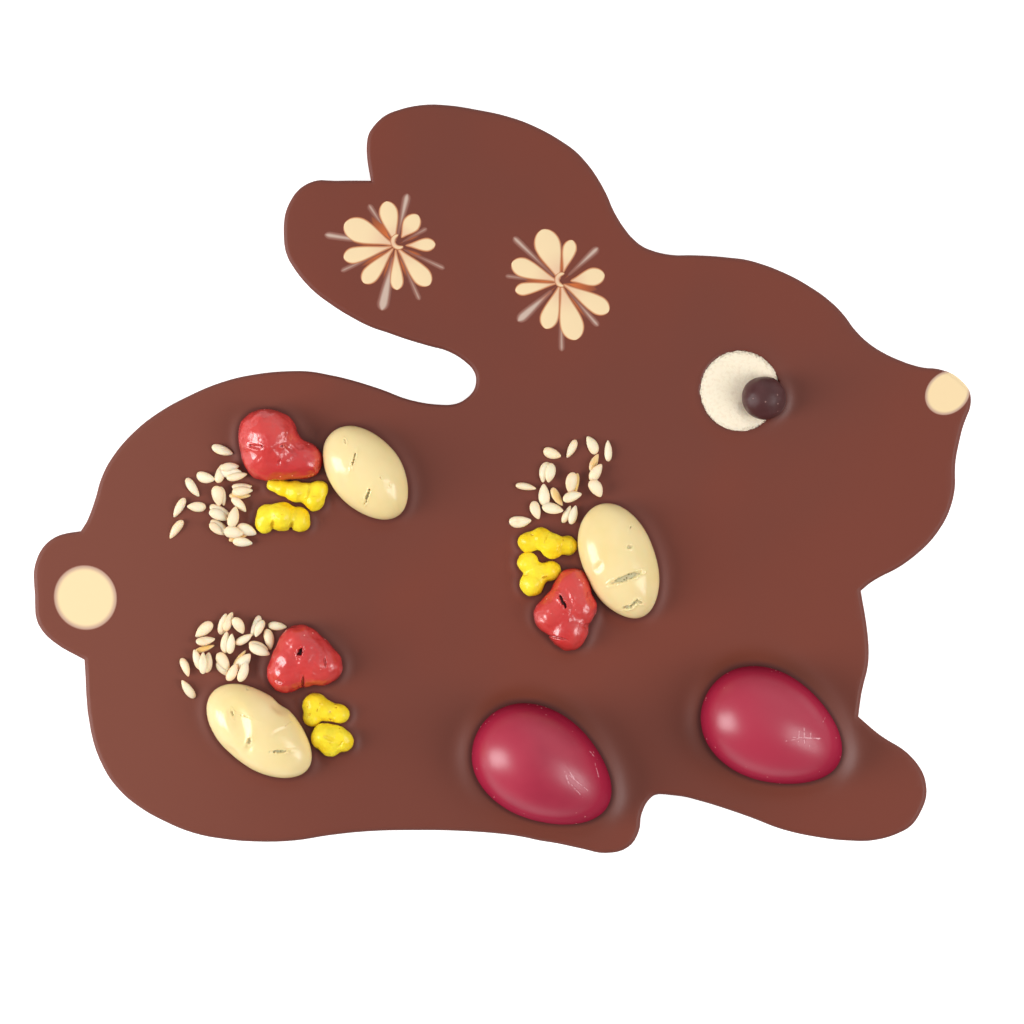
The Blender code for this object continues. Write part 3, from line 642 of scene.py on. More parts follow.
class CrunchSettings(bpy.types.PropertyGroup):
    red: colour_property("Red", "Red glaze", (216, 66, 61))
    red_deep: colour_property("Deep red", "Darker patches of the red glaze", (204, 50, 50))
    # Painted shade on the steep sides of a red piece
    red_side_shade: colour_property("Side red", "Steep sides of a red piece", (168, 30, 36))
    # Painted shade in the holes and pits of a red piece
    red_hole_shade: colour_property("Red inside", "What shows in a hole of a red piece", (70, 12, 22))
    red_speck: colour_property("Red speck", "Pale specks on the red glaze", (240, 150, 140))
    yellow: colour_property("Yellow", "Yellow glaze", (255, 230, 54))
    yellow_deep: colour_property("Deep yellow", "Patches of the yellow glaze", (252, 212, 22))
    # Painted shade in the creases, and the colour of real specks
    yellow_crease_shade_and_specks: colour_property("Yellow inside", "What shows in a crease", (220, 166, 20))
    red_blend: FloatProperty(
        name="Red blend", description="How softly red lobes melt together, in mm", default=0.9
    )
    yellow_blend: FloatProperty(
        name="Yellow blend", description="How softly yellow lobes melt together", default=0.3
    )


class EyeSettings(bpy.types.PropertyGroup):
    sugar: colour_property("Sugar", "Sugar disc", (255, 240, 214))
    # Colour of duller grains, also painted as shade round the pearl
    sugar_grain_and_pearl_shade: colour_property("Sugar shade", "Duller grains of the disc", (248, 230, 202))
    pearl: colour_property("Pearl", "Dark chocolate pearl", (80, 45, 45))
    pearl_patch: colour_property("Pearl patch", "Paler patches of the pearl", (92, 58, 58))
    pearl_speck: colour_property("Pearl speck", "Pale specks on the pearl", (150, 112, 106))
    grain: size_property("Grain", "Roughness of the disc's edge", 0.36)


class DotSettings(bpy.types.PropertyGroup):
    colour: colour_property("Colour", "White chocolate", (249, 221, 172))
    edge: colour_property("Edge colour", "Where a dot thins out", (196, 160, 140))
    brink: colour_property("Brink colour", "The very edge of a dot", (140, 84, 66))
    proud: size_property("Proud", "How far a dot or petal stands over the face", 0.04)


class FlowerSettings(bpy.types.PropertyGroup):
    cream: colour_property("Cream", "White chocolate of the petals", (244, 217, 172))
    fringe: colour_property("Fringe", "Edge of a petal", (196, 122, 78))
    smear: colour_property("Smear", "Orange streaks between the petals", (214, 112, 52))
    peach: colour_property("Peach", "Roots of the petals", (232, 190, 156))
    wisp: colour_property("Wisp", "Thin streaks beyond the petals", (204, 178, 162))
    smoke: colour_property("Smoke", "Edge of a thin streak", (146, 94, 80))
    height: size_property("Height", "How far a petal stands over the face", 0.1)


class SeedSettings(bpy.types.PropertyGroup):
    height: size_property("Height", "Thickness of a seed", 0.95)
    # Also painted as shade at each seed's rim
    taper: share_property("Taper", "How pointed a seed is", 0.22)
    pale: colour_property("Pale colour", "Hulled sesame", (255, 240, 211))
    warm: colour_property("Warm colour", "Warmer seeds and edges", (252, 214, 170))
    toasted: colour_property("Toasted colour", "The few golden seeds", (244, 198, 104))
    sides: IntProperty(name="Sides", description="Faces round a seed", default=14, min=5)


class StageSettings(bpy.types.PropertyGroup):
    distance: FloatProperty(
        name="Distance", description="Camera over the face", default=1.2, unit="LENGTH"
    )
    floor: colour_property("Floor", "Pale table", (216, 216, 216))
    left: FloatProperty(name="Left", description="Power of the left softbox", default=3.7)
    right: FloatProperty(name="Right", description="Power of the right softbox", default=3.0)
    top: FloatProperty(name="Top", description="Power of the large upper softbox", default=1.3)


SETTINGS = {
    "bunny_slab": SlabSettings,
    "bunny_eggs": EggSettings,
    "bunny_candies": CandySettings,
    "bunny_crunches": CrunchSettings,
    "bunny_eye": EyeSettings,
    "bunny_dots": DotSettings,
    "bunny_flowers": FlowerSettings,
    "bunny_seeds": SeedSettings,
    "bunny_stage": StageSettings,
}


def smooth(low, high, value):
    """0 below low, 1 above high, and a soft step between."""
    share = min(max((value - low) / (high - low), 0.0), 1.0)
    return share * share * (3 - 2 * share)


def add_object(name, data):
    """A new object in the scene."""
    made = bpy.data.objects.new(name, data)
    bpy.context.scene.collection.objects.link(made)
    return made


def add_piece(name, bm, material, nodes, sharp=None):
    """Makes a bmesh a finished piece at the origin that rides on the part's body.

    Edges sharper than the angle of sharp, in degrees, stay so.
    """
    bmesh.ops.recalc_face_normals(bm, faces=bm.faces)
    mesh = bpy.data.meshes.new(name)
    bm.to_mesh(mesh)
    bm.free()
    mesh.shade_smooth()
    if sharp is not None:
        mesh.set_sharp_from_angle(angle=math.radians(sharp))
    mesh.materials.append(material)
    piece = add_object(name, mesh)
    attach(piece, BODY)
    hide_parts(*nodes)
    return piece


def add_ball(bm, sides, rings):
    """Adds a unit ball with its poles on X to a bmesh, and gives its points."""
    made = bmesh.ops.create_uvsphere(
        bm, u_segments=sides, v_segments=rings, radius=1.0, matrix=ON_ITS_SIDE
    )
    return made["verts"]


def oval_ball(shape, taper, sides, rings):
    """The fine ball of an oval topping, drawn in towards its narrow end and put in its place."""
    bm = bmesh.new()
    for vert in add_ball(bm, sides, rings):
        along, across, up = vert.co
        drawn_in = 1.0 - taper * along
        vert.co.x = along * shape.length / 2 * MM
        vert.co.y = across * shape.width / 2 * drawn_in * MM
        vert.co.z = up * shape.height / 2 * drawn_in * MM
    put(bm, shape.x, shape.y, shape.z, shape.heading)
    return bm


def put(bm, x, y, z, heading):
    """Turns a bmesh to its heading and moves it to its place, given in millimetres."""
    turn = Matrix.Rotation(math.radians(heading), 3, "Z")
    bmesh.ops.rotate(bm, verts=bm.verts, cent=(0.0, 0.0, 0.0), matrix=turn)
    bmesh.ops.translate(bm, verts=bm.verts, vec=(x * MM, y * MM, z * MM))


def roughen(bm, height, size, offset=0.0):
    """Moves points along their normals by a soft noise of a height and size in millimetres.

    The offset gives each piece a noise of its own.
    """
    bm.normal_update()
    shift = Vector((offset, offset, offset))
    for vert in bm.verts:
        lump = noise.noise(vert.co / (size * MM) + shift)
        vert.co += vert.normal * lump * height * MM


def seen_from(shape, x, y):
    """How far a point lies from a shape's middle, along its heading and across it."""
    turn = math.radians(shape.heading)
    off_x, off_y = x - shape.x, y - shape.y
    along = off_x * math.cos(turn) + off_y * math.sin(turn)
    across = off_y * math.cos(turn) - off_x * math.sin(turn)
    return along, across


def mark_distance(mark, x, y):
    """How far a point lies from a mark's middle, as a share of the way to its edge."""
    along, across = seen_from(mark, x, y)
    out = math.hypot(along / (mark.length / 2), across / (mark.width / 2))
    ragged = mark.edge * RAGGEDNESS * noise.noise(Vector((x, y, mark.x)) / NOTCH)
    return out + ragged / min(mark.length, mark.width)


def refine(bm, marks, floor, margin, cuts):
    """Cuts the faces finer at each sharp mark and in a margin round it, above a floor."""
    edges = set()
    for face in bm.faces:
        middle = face.calc_center_median()
        if middle.z < floor:
            continue
        x, y = middle.x / MM, middle.y / MM
        for mark in marks:
            narrow = min(mark.width, mark.length) / 2
            if mark.edge > 0 and mark_distance(mark, x, y) < 1 + margin / narrow:
                if math.hypot(x - mark.x, y - mark.y) < mark.length / 2 + margin:
                    edges.update(face.edges)
    if edges:
        bmesh.ops.subdivide_edges(bm, edges=list(edges), cuts=cuts, use_grid_fill=True)


def carve(bm, marks, floor, cuts=3):
    """Presses each mark into the points above a floor in metres, and notes their stain."""
    refine(bm, marks, floor, LIP_REACH, cuts)
    stain_layer = bm.verts.layers.float.new("stain")
    bm.normal_update()
    for vert in bm.verts:
        if vert.co.z < floor:
            continue
        x, y = vert.co.x / MM, vert.co.y / MM
        sink, stain = 0.0, 0.0
        for mark in marks:
            out = mark_distance(mark, x, y)
            narrow = min(mark.width, mark.length) / 2
            beyond = (out - 1) * narrow
            if out < 1:
                soft = (1 - out * out) ** 2
                sharp = smooth(0.0, STEEP_SIDE, 1 - out)
                sink += mark.depth * (soft + (sharp - soft) * mark.edge)
                stain = max(stain, mark.stain * smooth(0.0, STAINED_SIDE, 1 - out))
            elif mark.edge > 0.5 and beyond < LIP_REACH:
                lip = math.exp(-(((beyond - LIP_DISTANCE) / LIP_BREADTH) ** 2))
                sink -= mark.edge * min(mark.depth, LIP_DEPTH) * LIP * lip
        vert.co -= vert.normal * sink * MM
        vert[stain_layer] = stain


def lobe_gap(x, y, z, lobes, blend):
    """Distance from a point over the face to the blended lobes, less than 0 inside them."""
    nearness = 0.0
    for lobe_x, lobe_y, rise, radius in lobes:
        out = math.sqrt((x - lobe_x) ** 2 + (y - lobe_y) ** 2 + (z - rise) ** 2) - radius
        nearness += math.exp(-out / blend)
    return -blend * math.log(nearness)


def lobed_ball(lobes, blend, sides, rings, face):
    """A ball whose points move out from the lobes' middle to the lobes' surface."""
    weight = sum(radius for _, _, _, radius in lobes)
    middle = Vector((0.0, 0.0, 0.0))
    for x, y, rise, radius in lobes:
        middle += Vector((x, y, rise)) * (radius / weight)
    bm = bmesh.new()
    bmesh.ops.create_uvsphere(bm, u_segments=sides, v_segments=rings, radius=1.0)
    for vert in bm.verts:
        ray = vert.co.normalized()
        inside, outside = 0.0, LOBE_REACH
        for _ in range(LOBE_STEPS):
            halfway = (inside + outside) / 2
            spot = middle + ray * halfway
            if lobe_gap(spot.x, spot.y, spot.z, lobes, blend) < 0:
                inside = halfway
            else:
                outside = halfway
        vert.co = (middle + ray * inside + Vector((0.0, 0.0, face))) * MM
    return bm


def add_node(tree, kind, inputs, **options):
    """The outputs of a new shader node, whose inputs take numbers or other nodes' outputs."""
    node = tree.nodes.new("ShaderNode" + kind)
    for option, choice in options.items():
        setattr(node, option, choice)
    for label, value in inputs.items():
        if isinstance(value, bpy.types.NodeSocket):
            tree.links.new(value, node.inputs[label])
        else:
            node.inputs[label].default_value = value
    return node.outputs


def maths(tree, operation, first, second):
    """What a Math node makes of two values."""
    return add_node(tree, "Math", {0: first, 1: second}, operation=operation)["Value"]


def soft_ramp(tree, source, low, high, out_low=0.0, out_high=1.0):
    """Goes softly from one value to another while its source goes from low to high."""
    inputs = {
        "Value": source,
        "From Min": low,
        "From Max": high,
        "To Min": out_low,
        "To Max": out_high,
    }
    return add_node(tree, "MapRange", inputs, interpolation_type="SMOOTHSTEP")["Result"]


def make_group(name, inputs, output, build):
    """A shader node group with named value inputs and one output, built once.

    Build adds the group's nodes to its tree, and gives what the group puts out.
    """
    if name in bpy.data.node_groups:
        return bpy.data.node_groups[name]
    tree = bpy.data.node_groups.new(name, "ShaderNodeTree")
    for label, default in inputs.items():
        socket = tree.interface.new_socket(label, in_out="INPUT", socket_type="NodeSocketFloat")
        socket.default_value = default
    tree.interface.new_socket(output, in_out="OUTPUT", socket_type="NodeSocketFloat")
    given = tree.nodes.new("NodeGroupInput")
    made = tree.nodes.new("NodeGroupOutput")
    place = add_node(tree, "TexCoord", {})["Object"]
    tree.links.new(build(tree, place, given.outputs), made.inputs[output])
    return tree


def mottle_group():
    """Soft clouds from 0 to 1."""

    def build(tree, place, given):
        inputs = {"Vector": place, "Scale": given["Scale"], "Detail": 3.0}
        clouds = add_node(tree, "TexNoise", inputs)["Fac"]
        return soft_ramp(tree, clouds, given["Low"], given["High"])

    return make_group("Soft Mottle", {"Scale": 80.0, "Low": 0.4, "High": 0.6}, "Mask", build)


def specks_group():
    """Small scattered specks: 1 within a speck and 0 elsewhere."""

    def build(tree, place, given):
        cells = add_node(tree, "TexVoronoi", {"Vector": place, "Scale": given["Scale"]})
        near = maths(tree, "LESS_THAN", cells["Distance"], given["Size"])
        parts = add_node(tree, "SeparateColor", {"Color": cells["Color"]})
        few = maths(tree, "LESS_THAN", parts["Red"], given["Share"])
        return maths(tree, "MULTIPLY", near, few)

    inputs = {"Scale": 900.0, "Size": 0.25, "Share": 0.2}
    return make_group("Scattered Specks", inputs, "Mask", build)


def grain_group():
    """A fine height for a bump: coarse lumps with a share of a finer grain on them."""

    def build(tree, place, given):
        inputs = {"Vector": place, "Scale": given["Lumps"], "Detail": 2.0}
        lumps = add_node(tree, "TexNoise", inputs)["Fac"]
        inputs = {"Vector": place, "Scale": given["Grain"], "Detail": 1.0}
        grain = add_node(tree, "TexNoise", inputs)["Fac"]
        return maths(tree, "ADD", lumps, maths(tree, "MULTIPLY", grain, given["Share"]))

    inputs = {"Lumps": 300.0, "Grain": 2500.0, "Share": 0.3}
    return make_group("Fine Grain", inputs, "Height", build)


class Finish:
    """One material under construction: colours are laid over each other from the first on."""

    def __init__(self, name, colour):
        self.material = bpy.data.materials.new(name)
        self.material.use_nodes = True
        self.tree = self.material.node_tree
        self.sockets = self.tree.nodes["Principled BSDF"].inputs
        self.colour = (*colour, 1.0)
        self.value("Base Color", self.colour)

    def value(self, socket, number):
        self.sockets[socket].default_value = number

    def feed(self, socket, source):
        self.tree.links.new(source, self.sockets[socket])

    def group(self, group, **numbers):
        return add_node(self.tree, "Group", numbers, node_tree=group)[0]

    def attribute(self, name):
        return add_node(self.tree, "Attribute", {}, attribute_name=name)["Fac"]

    def ramp(self, source, *levels):
        return soft_ramp(self.tree, source, *levels)

    def times(self, first, second):
        return maths(self.tree, "MULTIPLY", first, second)

    def lay(self, mask, colour):
        """Lays a colour over what is there, where the mask is above 0."""
        inputs = {0: mask, 6: self.colour, 7: (*colour, 1.0)}
        self.colour = add_node(self.tree, "Mix", inputs, data_type="RGBA")[2]
        self.feed("Base Color", self.colour)

    def mottle(self, colour, **numbers):
        """Lays a colour on in soft clouds."""
        self.lay(self.group(mottle_group(), **numbers), colour)

    def dull(self, mask, smooth_value, rough_value):
        """Gives one roughness where the mask is 0, and another where it is 1."""
        self.feed("Roughness", self.ramp(mask, 0.0, 1.0, smooth_value, rough_value))

    def bump(self, distance, strength, **numbers):
        """Roughens the surface by a distance in millimetres, in the grain of these numbers."""
        height = self.group(grain_group(), **numbers)
        inputs = {"Distance": distance * MM, "Strength": strength, "Height": height}
        self.feed("Normal", add_node(self.tree, "Bump", inputs)["Normal"])

    def glow_through(self, weight, scale):
        """Lets light scatter inside the surface, as far as a scale in millimetres."""
        self.value("Subsurface Weight", weight)
        self.value("Subsurface Scale", scale * MM)
        self.value("Subsurface Radius", (1.0, 0.6, 0.4))


def chocolate_finish(settings):
    finish = Finish("milk_chocolate_finish", settings.colour)
    finish.mottle(settings.ruddy, Scale=22.0, Low=0.42, High=0.66)
    # Painted sheen towards the tail
    finish.lay(finish.attribute("tail_sheen"), settings.tail_sheen)
    # Painted bounce light from the eggs
    finish.lay(finish.attribute("egg_bounce"), settings.egg_bounce)
    # Painted shade beside each topping
    finish.lay(finish.attribute("contact_shade"), settings.contact_shade)
    # Painted shade on the rounded rim, which is also duller
    rim = finish.attribute("rim")
    finish.lay(finish.times(rim, 0.15), settings.contact_shade)
    finish.dull(rim, 0.38, 0.6)
    finish.bump(0.03, 0.6, Lumps=120.0, Grain=1500.0, Share=0.08)
    return finish.material


def egg_finish(settings):
    """A glaze whose gloss lies in a coat that ends towards the egg's widest line."""
    finish = Finish("crimson_glaze_finish", settings.colour)
    finish.mottle(settings.deep, Scale=70.0, Low=0.45, High=0.75)
    waist = finish.attribute("waist")
    # Painted shade round the widest line; the same mask thins the coat there
    finish.lay(waist, settings.waist)
    specks = finish.group(specks_group(), Scale=1400.0, Size=0.22, Share=0.05)
    finish.lay(finish.times(specks, waist), settings.speck)
    # Painted glint on the carved scratches
    finish.lay(finish.attribute("stain"), settings.scratch_glint)
    scuffs = finish.group(mottle_group(), Scale=260.0, Low=0.35, High=0.7)
    finish.dull(scuffs, settings.roughness - 0.05, settings.roughness + 0.07)
    finish.bump(0.04, 0.5, Lumps=220.0, Grain=1800.0, Share=0.15)
    finish.value("Specular IOR Level", 0.0)
    finish.feed("Coat Weight", finish.ramp(waist, 0.03, 0.4, 1.0, 0.1))
    finish.value("Coat IOR", 1.58)
    finish.value("Coat Roughness", 0.35)
    return finish.material


def candy_finish(settings):
    finish = Finish("cream_glaze_finish", settings.colour)
    finish.mottle(settings.deep, Scale=110.0, Low=0.4, High=0.75)
    inside = finish.attribute("stain")
    finish.lay(inside, settings.inside)
    crumbs = finish.group(specks_group(), Scale=2600.0, Size=0.4, Share=0.3)
    finish.lay(finish.times(crumbs, inside), settings.crumb)
    finish.dull(inside, settings.roughness, 0.8)
    finish.bump(0.05, 0.5, Lumps=260.0, Grain=2200.0, Share=0.1)
    finish.glow_through(0.3, 2.0)
    return finish.material


def red_finish(settings):
    finish = Finish("red_glaze_finish", settings.red)
    finish.mottle(settings.red_deep, Scale=160.0, Low=0.4, High=0.7)
    # Painted shade on the steep sides
    finish.lay(finish.attribute("side"), settings.red_side_shade)
    inside = finish.attribute("stain")
    # Painted shade in the holes and pits
    finish.lay(inside, settings.red_hole_shade)
    specks = finish.group(specks_group(), Scale=1500.0, Size=0.2, Share=0.06)
    finish.lay(specks, settings.red_speck)
    finish.dull(inside, 0.26, 0.7)
    finish.value("Specular IOR Level", 1.0)
    finish.bump(0.15, 0.8, Lumps=520.0, Grain=2600.0, Share=0.2)
    finish.glow_through(0.15, 1.0)
    return finish.material


def yellow_finish(settings):
    finish = Finish("yellow_glaze_finish", settings.yellow)
    finish.mottle(settings.yellow_deep, Scale=240.0, Low=0.4, High=0.7)
    inside = finish.attribute("stain")
    # Painted shade in the creases
    finish.lay(inside, settings.yellow_crease_shade_and_specks)
    specks = finish.group(specks_group(), Scale=1300.0, Size=0.2, Share=0.05)
    finish.lay(specks, settings.yellow_crease_shade_and_specks)
    finish.dull(inside, 0.3, 0.7)
    finish.value("Specular IOR Level", 0.34)
    finish.bump(0.08, 0.7, Lumps=500.0, Grain=2600.0, Share=0.2)
    finish.glow_through(0.12, 1.0)
    return finish.material


def sugar_finish(settings):
    finish = Finish("sugar_paste_finish", settings.sugar)
    finish.mottle(settings.sugar_grain_and_pearl_shade, Scale=1800.0, Low=0.45, High=0.75)
    # Painted shade round the pearl
    finish.lay(finish.attribute("stain"), settings.sugar_grain_and_pearl_shade)
    finish.value("Roughness", 0.75)
    finish.bump(0.12, 0.8, Lumps=1500.0, Grain=4200.0, Share=0.6)
    finish.glow_through(0.1, 1.0)
    return finish.material


def pearl_finish(settings):
    finish = Finish("dark_chocolate_finish", settings.pearl)
    finish.mottle(settings.pearl_patch, Scale=300.0, Low=0.4, High=0.8)
    specks = finish.group(specks_group(), Scale=1500.0, Size=0.2, Share=0.12)
    finish.lay(specks, settings.pearl_speck)
    scuffs = finish.group(mottle_group(), Scale=500.0, Low=0.35, High=0.7)
    finish.dull(scuffs, 0.36, 0.52)
    finish.value("Specular IOR Level", 0.36)
    finish.bump(0.06, 0.6, Lumps=700.0, Grain=2600.0, Share=0.3)
    return finish.material


def dot_finish(name, settings, shape):
    """White chocolate that thins out towards the dot's edge."""
    finish = Finish(name, settings.colour)
    inputs = {
        "Vector": add_node(finish.tree, "TexCoord", {})["Object"],
        "Location": (shape.x * MM, shape.y * MM, shape.z * MM),
        "Rotation": (0.0, 0.0, math.radians(shape.heading)),
        "Scale": (shape.length / 2 * MM, shape.width / 2 * MM, 1.0),
    }
    centred = add_node(finish.tree, "Mapping", inputs, vector_type="TEXTURE")
    inputs = {"Vector": centred["Vector"]}
    inwards = add_node(finish.tree, "TexGradient", inputs, gradient_type="SPHERICAL")["Fac"]
    finish.lay(finish.ramp(inwards, 0.2, 0.03), settings.edge)
    finish.lay(finish.ramp(inwards, 0.05, 0.0), settings.brink)
    finish.value("Roughness", 0.42)
    finish.bump(0.03, 0.5, Lumps=300.0, Grain=1800.0, Share=0.1)
    return finish.material


def marbled_finish(name, colour, root, fringe, outer, inner):
    """Poured colour that turns to its fringe and then to chocolate over its edge.

    The fringe shows between two distances from the outline, in millimetres.
    """
    finish = Finish(name, colour)
    finish.lay(finish.attribute("root"), root)
    inwards = finish.attribute("inwards")
    finish.lay(finish.ramp(inwards, inner, outer), fringe)
    finish.lay(finish.ramp(inwards, outer, 0.0), bpy.context.scene.bunny_slab.colour)
    finish.value("Roughness", 0.42)
    finish.bump(0.02, 0.5, Lumps=300.0, Grain=1800.0, Share=0.1)
    return finish.material


def marbled_finishes(settings):
    """The finish of each kind of streak in a flower."""
    chocolate = bpy.context.scene.bunny_slab.colour
    kinds = {
        "smears": (chocolate, settings.smear, chocolate, 0.06, 0.5),
        "wisps": (settings.wisp, settings.smear, settings.smoke, 0.25, 0.75),
        "petals": (settings.cream, settings.peach, settings.fringe, 0.1, 0.42),
        "hooks": (settings.cream, settings.peach, settings.fringe, 0.08, 0.32),
    }
    return {kind: marbled_finish("marbled_" + kind, *look) for kind, look in kinds.items()}


def seed_finish(name, settings, colour):
    finish = Finish(name, colour)
    # Each seed's own warmth, with painted shade at its rim
    finish.lay(finish.attribute("warmth_and_rim_shade"), settings.warm)
    finish.mottle(settings.warm, Scale=700.0, Low=0.5, High=0.9)
    finish.value("Roughness", 0.42)
    finish.bump(0.04, 0.6, Lumps=1200.0, Grain=4000.0, Share=0.3)
    finish.glow_through(0.4, 0.9)
    return finish.material


def outline_points(node, rim):
    """The slab's outline in order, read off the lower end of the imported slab's side wall."""
    bm = bmesh.new()
    bm.from_mesh(node.data)
    bmesh.ops.remove_doubles(bm, verts=bm.verts, dist=0.001 * MM)
    wall = {vert for vert in bm.verts if abs(vert.co.z - rim) < 0.02 * MM}
    here = max(wall, key=lambda vert: vert.co.x)
    points, seen = [], set()
    while here is not None:
        points.append((here.co.x, here.co.y))
        seen.add(here)
        beside = (edge.other_vert(here) for edge in here.link_edges)
        here = next((vert for vert in beside if vert in wall and vert not in seen), None)
    bm.free()
    if len(points) < 100:
        raise RuntimeError(f"the slab's outline has only {len(points)} points")
    return points


def outline_body(points, thickness, rim, grow=0.0):
    """The slab's plain body: the outline filled, with rounded rims, grown all round by a bit."""
    curve = bpy.data.curves.new("outline", "CURVE")
    curve.dimensions = "2D"
    curve.fill_mode = "BOTH"
    curve.resolution_u = 4
    curve.extrude = thickness / 2 - rim + grow
    curve.bevel_depth = rim
    curve.bevel_resolution = 3
    curve.offset = grow - rim
    spline = curve.splines.new("BEZIER")
    spline.bezier_points.add(len(points) - 1)
    for number, knot in enumerate(spline.bezier_points):
        beside = (points[(number + step) % len(points)] for step in (-1, 0, 1))
        before, here, after = (Vector(point) for point in beside)
        turn = (here - before).angle(after - here)
        handle = "VECTOR" if turn > CORNER else "AUTO"
        knot.co = (here.x, here.y, 0.0)
        knot.handle_left_type = handle
        knot.handle_right_type = handle
    spline.use_cyclic_u = True
    drawn = add_object("outline", curve)
    graph = bpy.context.evaluated_depsgraph_get()
    filled = bpy.data.meshes.new_from_object(drawn.evaluated_get(graph))
    bm = bmesh.new()
    bm.from_mesh(filled)
    bmesh.ops.remove_doubles(bm, verts=bm.verts, dist=0.002 * MM)
    bmesh.ops.recalc_face_normals(bm, faces=bm.faces)
    for side in (1.0, -1.0):
        flat = [face for face in bm.faces if face.normal.z * side > 0.999]
        bmesh.ops.dissolve_faces(bm, faces=flat)
    bmesh.ops.translate(bm, verts=bm.verts, vec=(0.0, 0.0, thickness / 2))
    bpy.data.objects.remove(drawn, do_unlink=True)
    bpy.data.curves.remove(curve)
    bpy.data.meshes.remove(filled)
    return bm


def grid_face(bm, pitch):
    """Cuts the upper face into squares."""
    face = max(bm.faces, key=lambda one: one.normal.z * one.calc_center_median().z)
    along = [vert.co.x for vert in face.verts]
    spans = ((min(along), max(along)), (-GRID_REACH * MM, GRID_REACH * MM))
    geom = [face, *face.edges, *face.verts]
    for axis, (low, high) in enumerate(spans):
        normal = Vector((0.0, 0.0, 0.0))
        normal[axis] = 1.0
        for step in range(1, int((high - low) / pitch) + 1):
            cut = bmesh.ops.bisect_plane(
                bm, geom=geom, dist=1e-7, plane_co=normal * (low + step * pitch), plane_no=normal
            )
            geom = cut["geom"]


def oval_gap(shape, taper, x, y):
    """Distance seen from above to an oval's outline, in millimetres, less than 0 inside."""
    long_half, wide_half = shape.length / 2, shape.width / 2
    along, across = seen_from(shape, x, y)
    along /= long_half
    across /= wide_half
    across /= 1.0 - taper * min(max(along, -1.0), 1.0)
    out = math.hypot(along, across)
    steepness = math.hypot(along / long_half, across / wide_half)
    return (out - 1) * out / steepness if steepness > 0 else -wide_half


def topping_gap(kind, shape, x, y, blends):
    """Distance seen from above to one topping, in millimetres, less than 0 inside."""
    if kind in blends:
        flat = [(lobe_x, lobe_y, 0.0, radius) for lobe_x, lobe_y, _, radius in shape]
        return lobe_gap(x, y, 0.0, flat, blends[kind])
    taper = {"egg": EGG_TAPER, "cream_candy": CANDY_TAPER}.get(kind, 0.0)
    return oval_gap(shape, taper, x, y)


def lobe_blends():
    """How softly the lobes of each kind of lobed topping melt together."""
    settings = bpy.context.scene.bunny_crunches
    return {"red_crunch": settings.red_blend, "yellow_crunch": settings.yellow_blend}


def toppings():
    """Each topping's kind and shape."""
    kinds = (
        ("egg", EGGS.values()),
        ("cream_candy", CANDIES.values()),
        ("red_crunch", RED_LOBES.values()),
        ("yellow_crunch", YELLOW_LOBES.values()),
        ("eye_disc", [EYE_DISC]),
        ("eye_pearl", [EYE_PEARL]),
    )
    return [(kind, shape) for kind, shapes in kinds for shape in shapes]


def face_wave(x, y, settings):
    """How far the poured face stands off its level, in metres, at a place in millimetres."""
    return noise.noise(Vector((x, y, 0.0)) / settings.wave_size * MM) * settings.wave


def raise_face(bm, settings, blends):
    """Lets the face climb the toppings and wave a little. Notes where paint goes: shade beside the
    toppings and on the rim, the eggs' bounce light and the sheen towards the tail.

    The upper rim follows it, less and less down to the wall.
    """
    contact_shade_layer = bm.verts.layers.float.new("contact_shade")
    egg_bounce_layer = bm.verts.layers.float.new("egg_bounce")
    rim_layer = bm.verts.layers.float.new("rim")
    tail_sheen_layer = bm.verts.layers.float.new("tail_sheen")
    for vert in bm.verts:
        # Share of the painted sheen, growing towards the tail
        vert[tail_sheen_layer] = smooth(*TAIL_SHEEN_SIDE, -vert.co.x / MM)
        # The rim is marked for its painted shade and its dullness
        if vert.co.z < settings.thickness - FACE_TOLERANCE * MM:
            vert[rim_layer] = 1.0
        follow = smooth(settings.thickness - settings.rim, settings.thickness, vert.co.z)
        if follow == 0.0:
            continue
        x, y = vert.co.x / MM, vert.co.y / MM
        climbed, contact_shade, sunk, egg_bounce = 0.0, 0.0, 0.0, 0.0
        for kind, shape in toppings():
            meniscus = MENISCUS[kind]
            away = topping_gap(kind, shape, x, y, blends)
            if away > CLIMB_REACH * meniscus.spread:
                continue
            out = max(away, 0.0)
            climbed = math.hypot(
                climbed, meniscus.rise * math.exp(-((out / meniscus.spread) ** 2))
            )
            # Painted shade where the face meets a topping
            contact_shade = max(contact_shade, meniscus.shade * (1 - smooth(*CONTACT_SHADE_FADE, out)))
            sunk = max(sunk, smooth(meniscus.tuck, meniscus.tuck + SINK_SLOPE, -away))
            # Painted bounce light on the eggs' ears' side
            if kind == "egg":
                behind = (y - shape.y) / math.hypot(x - shape.x, y - shape.y)
                near = math.exp(-(((out - BOUNCE_DISTANCE) / BOUNCE_BREADTH) ** 2))
                egg_bounce = max(egg_bounce, near * smooth(*BOUNCE_SIDE, behind))
        vert.co.z += follow * ((climbed - SINK * sunk) * MM + face_wave(x, y, settings))
        vert[contact_shade_layer] = contact_shade
        vert[egg_bounce_layer] = egg_bounce


def spine(x, y, heading, length, width):
    """Points along the middle of a seed, from one round end to the other."""
    turn = math.radians(heading)
    reach = (length - width) / 2
    return [
        (x + reach * share * math.cos(turn), y + reach * share * math.sin(turn))
        for share in (-1.0, -0.5, 0.0, 0.5, 1.0)
    ]


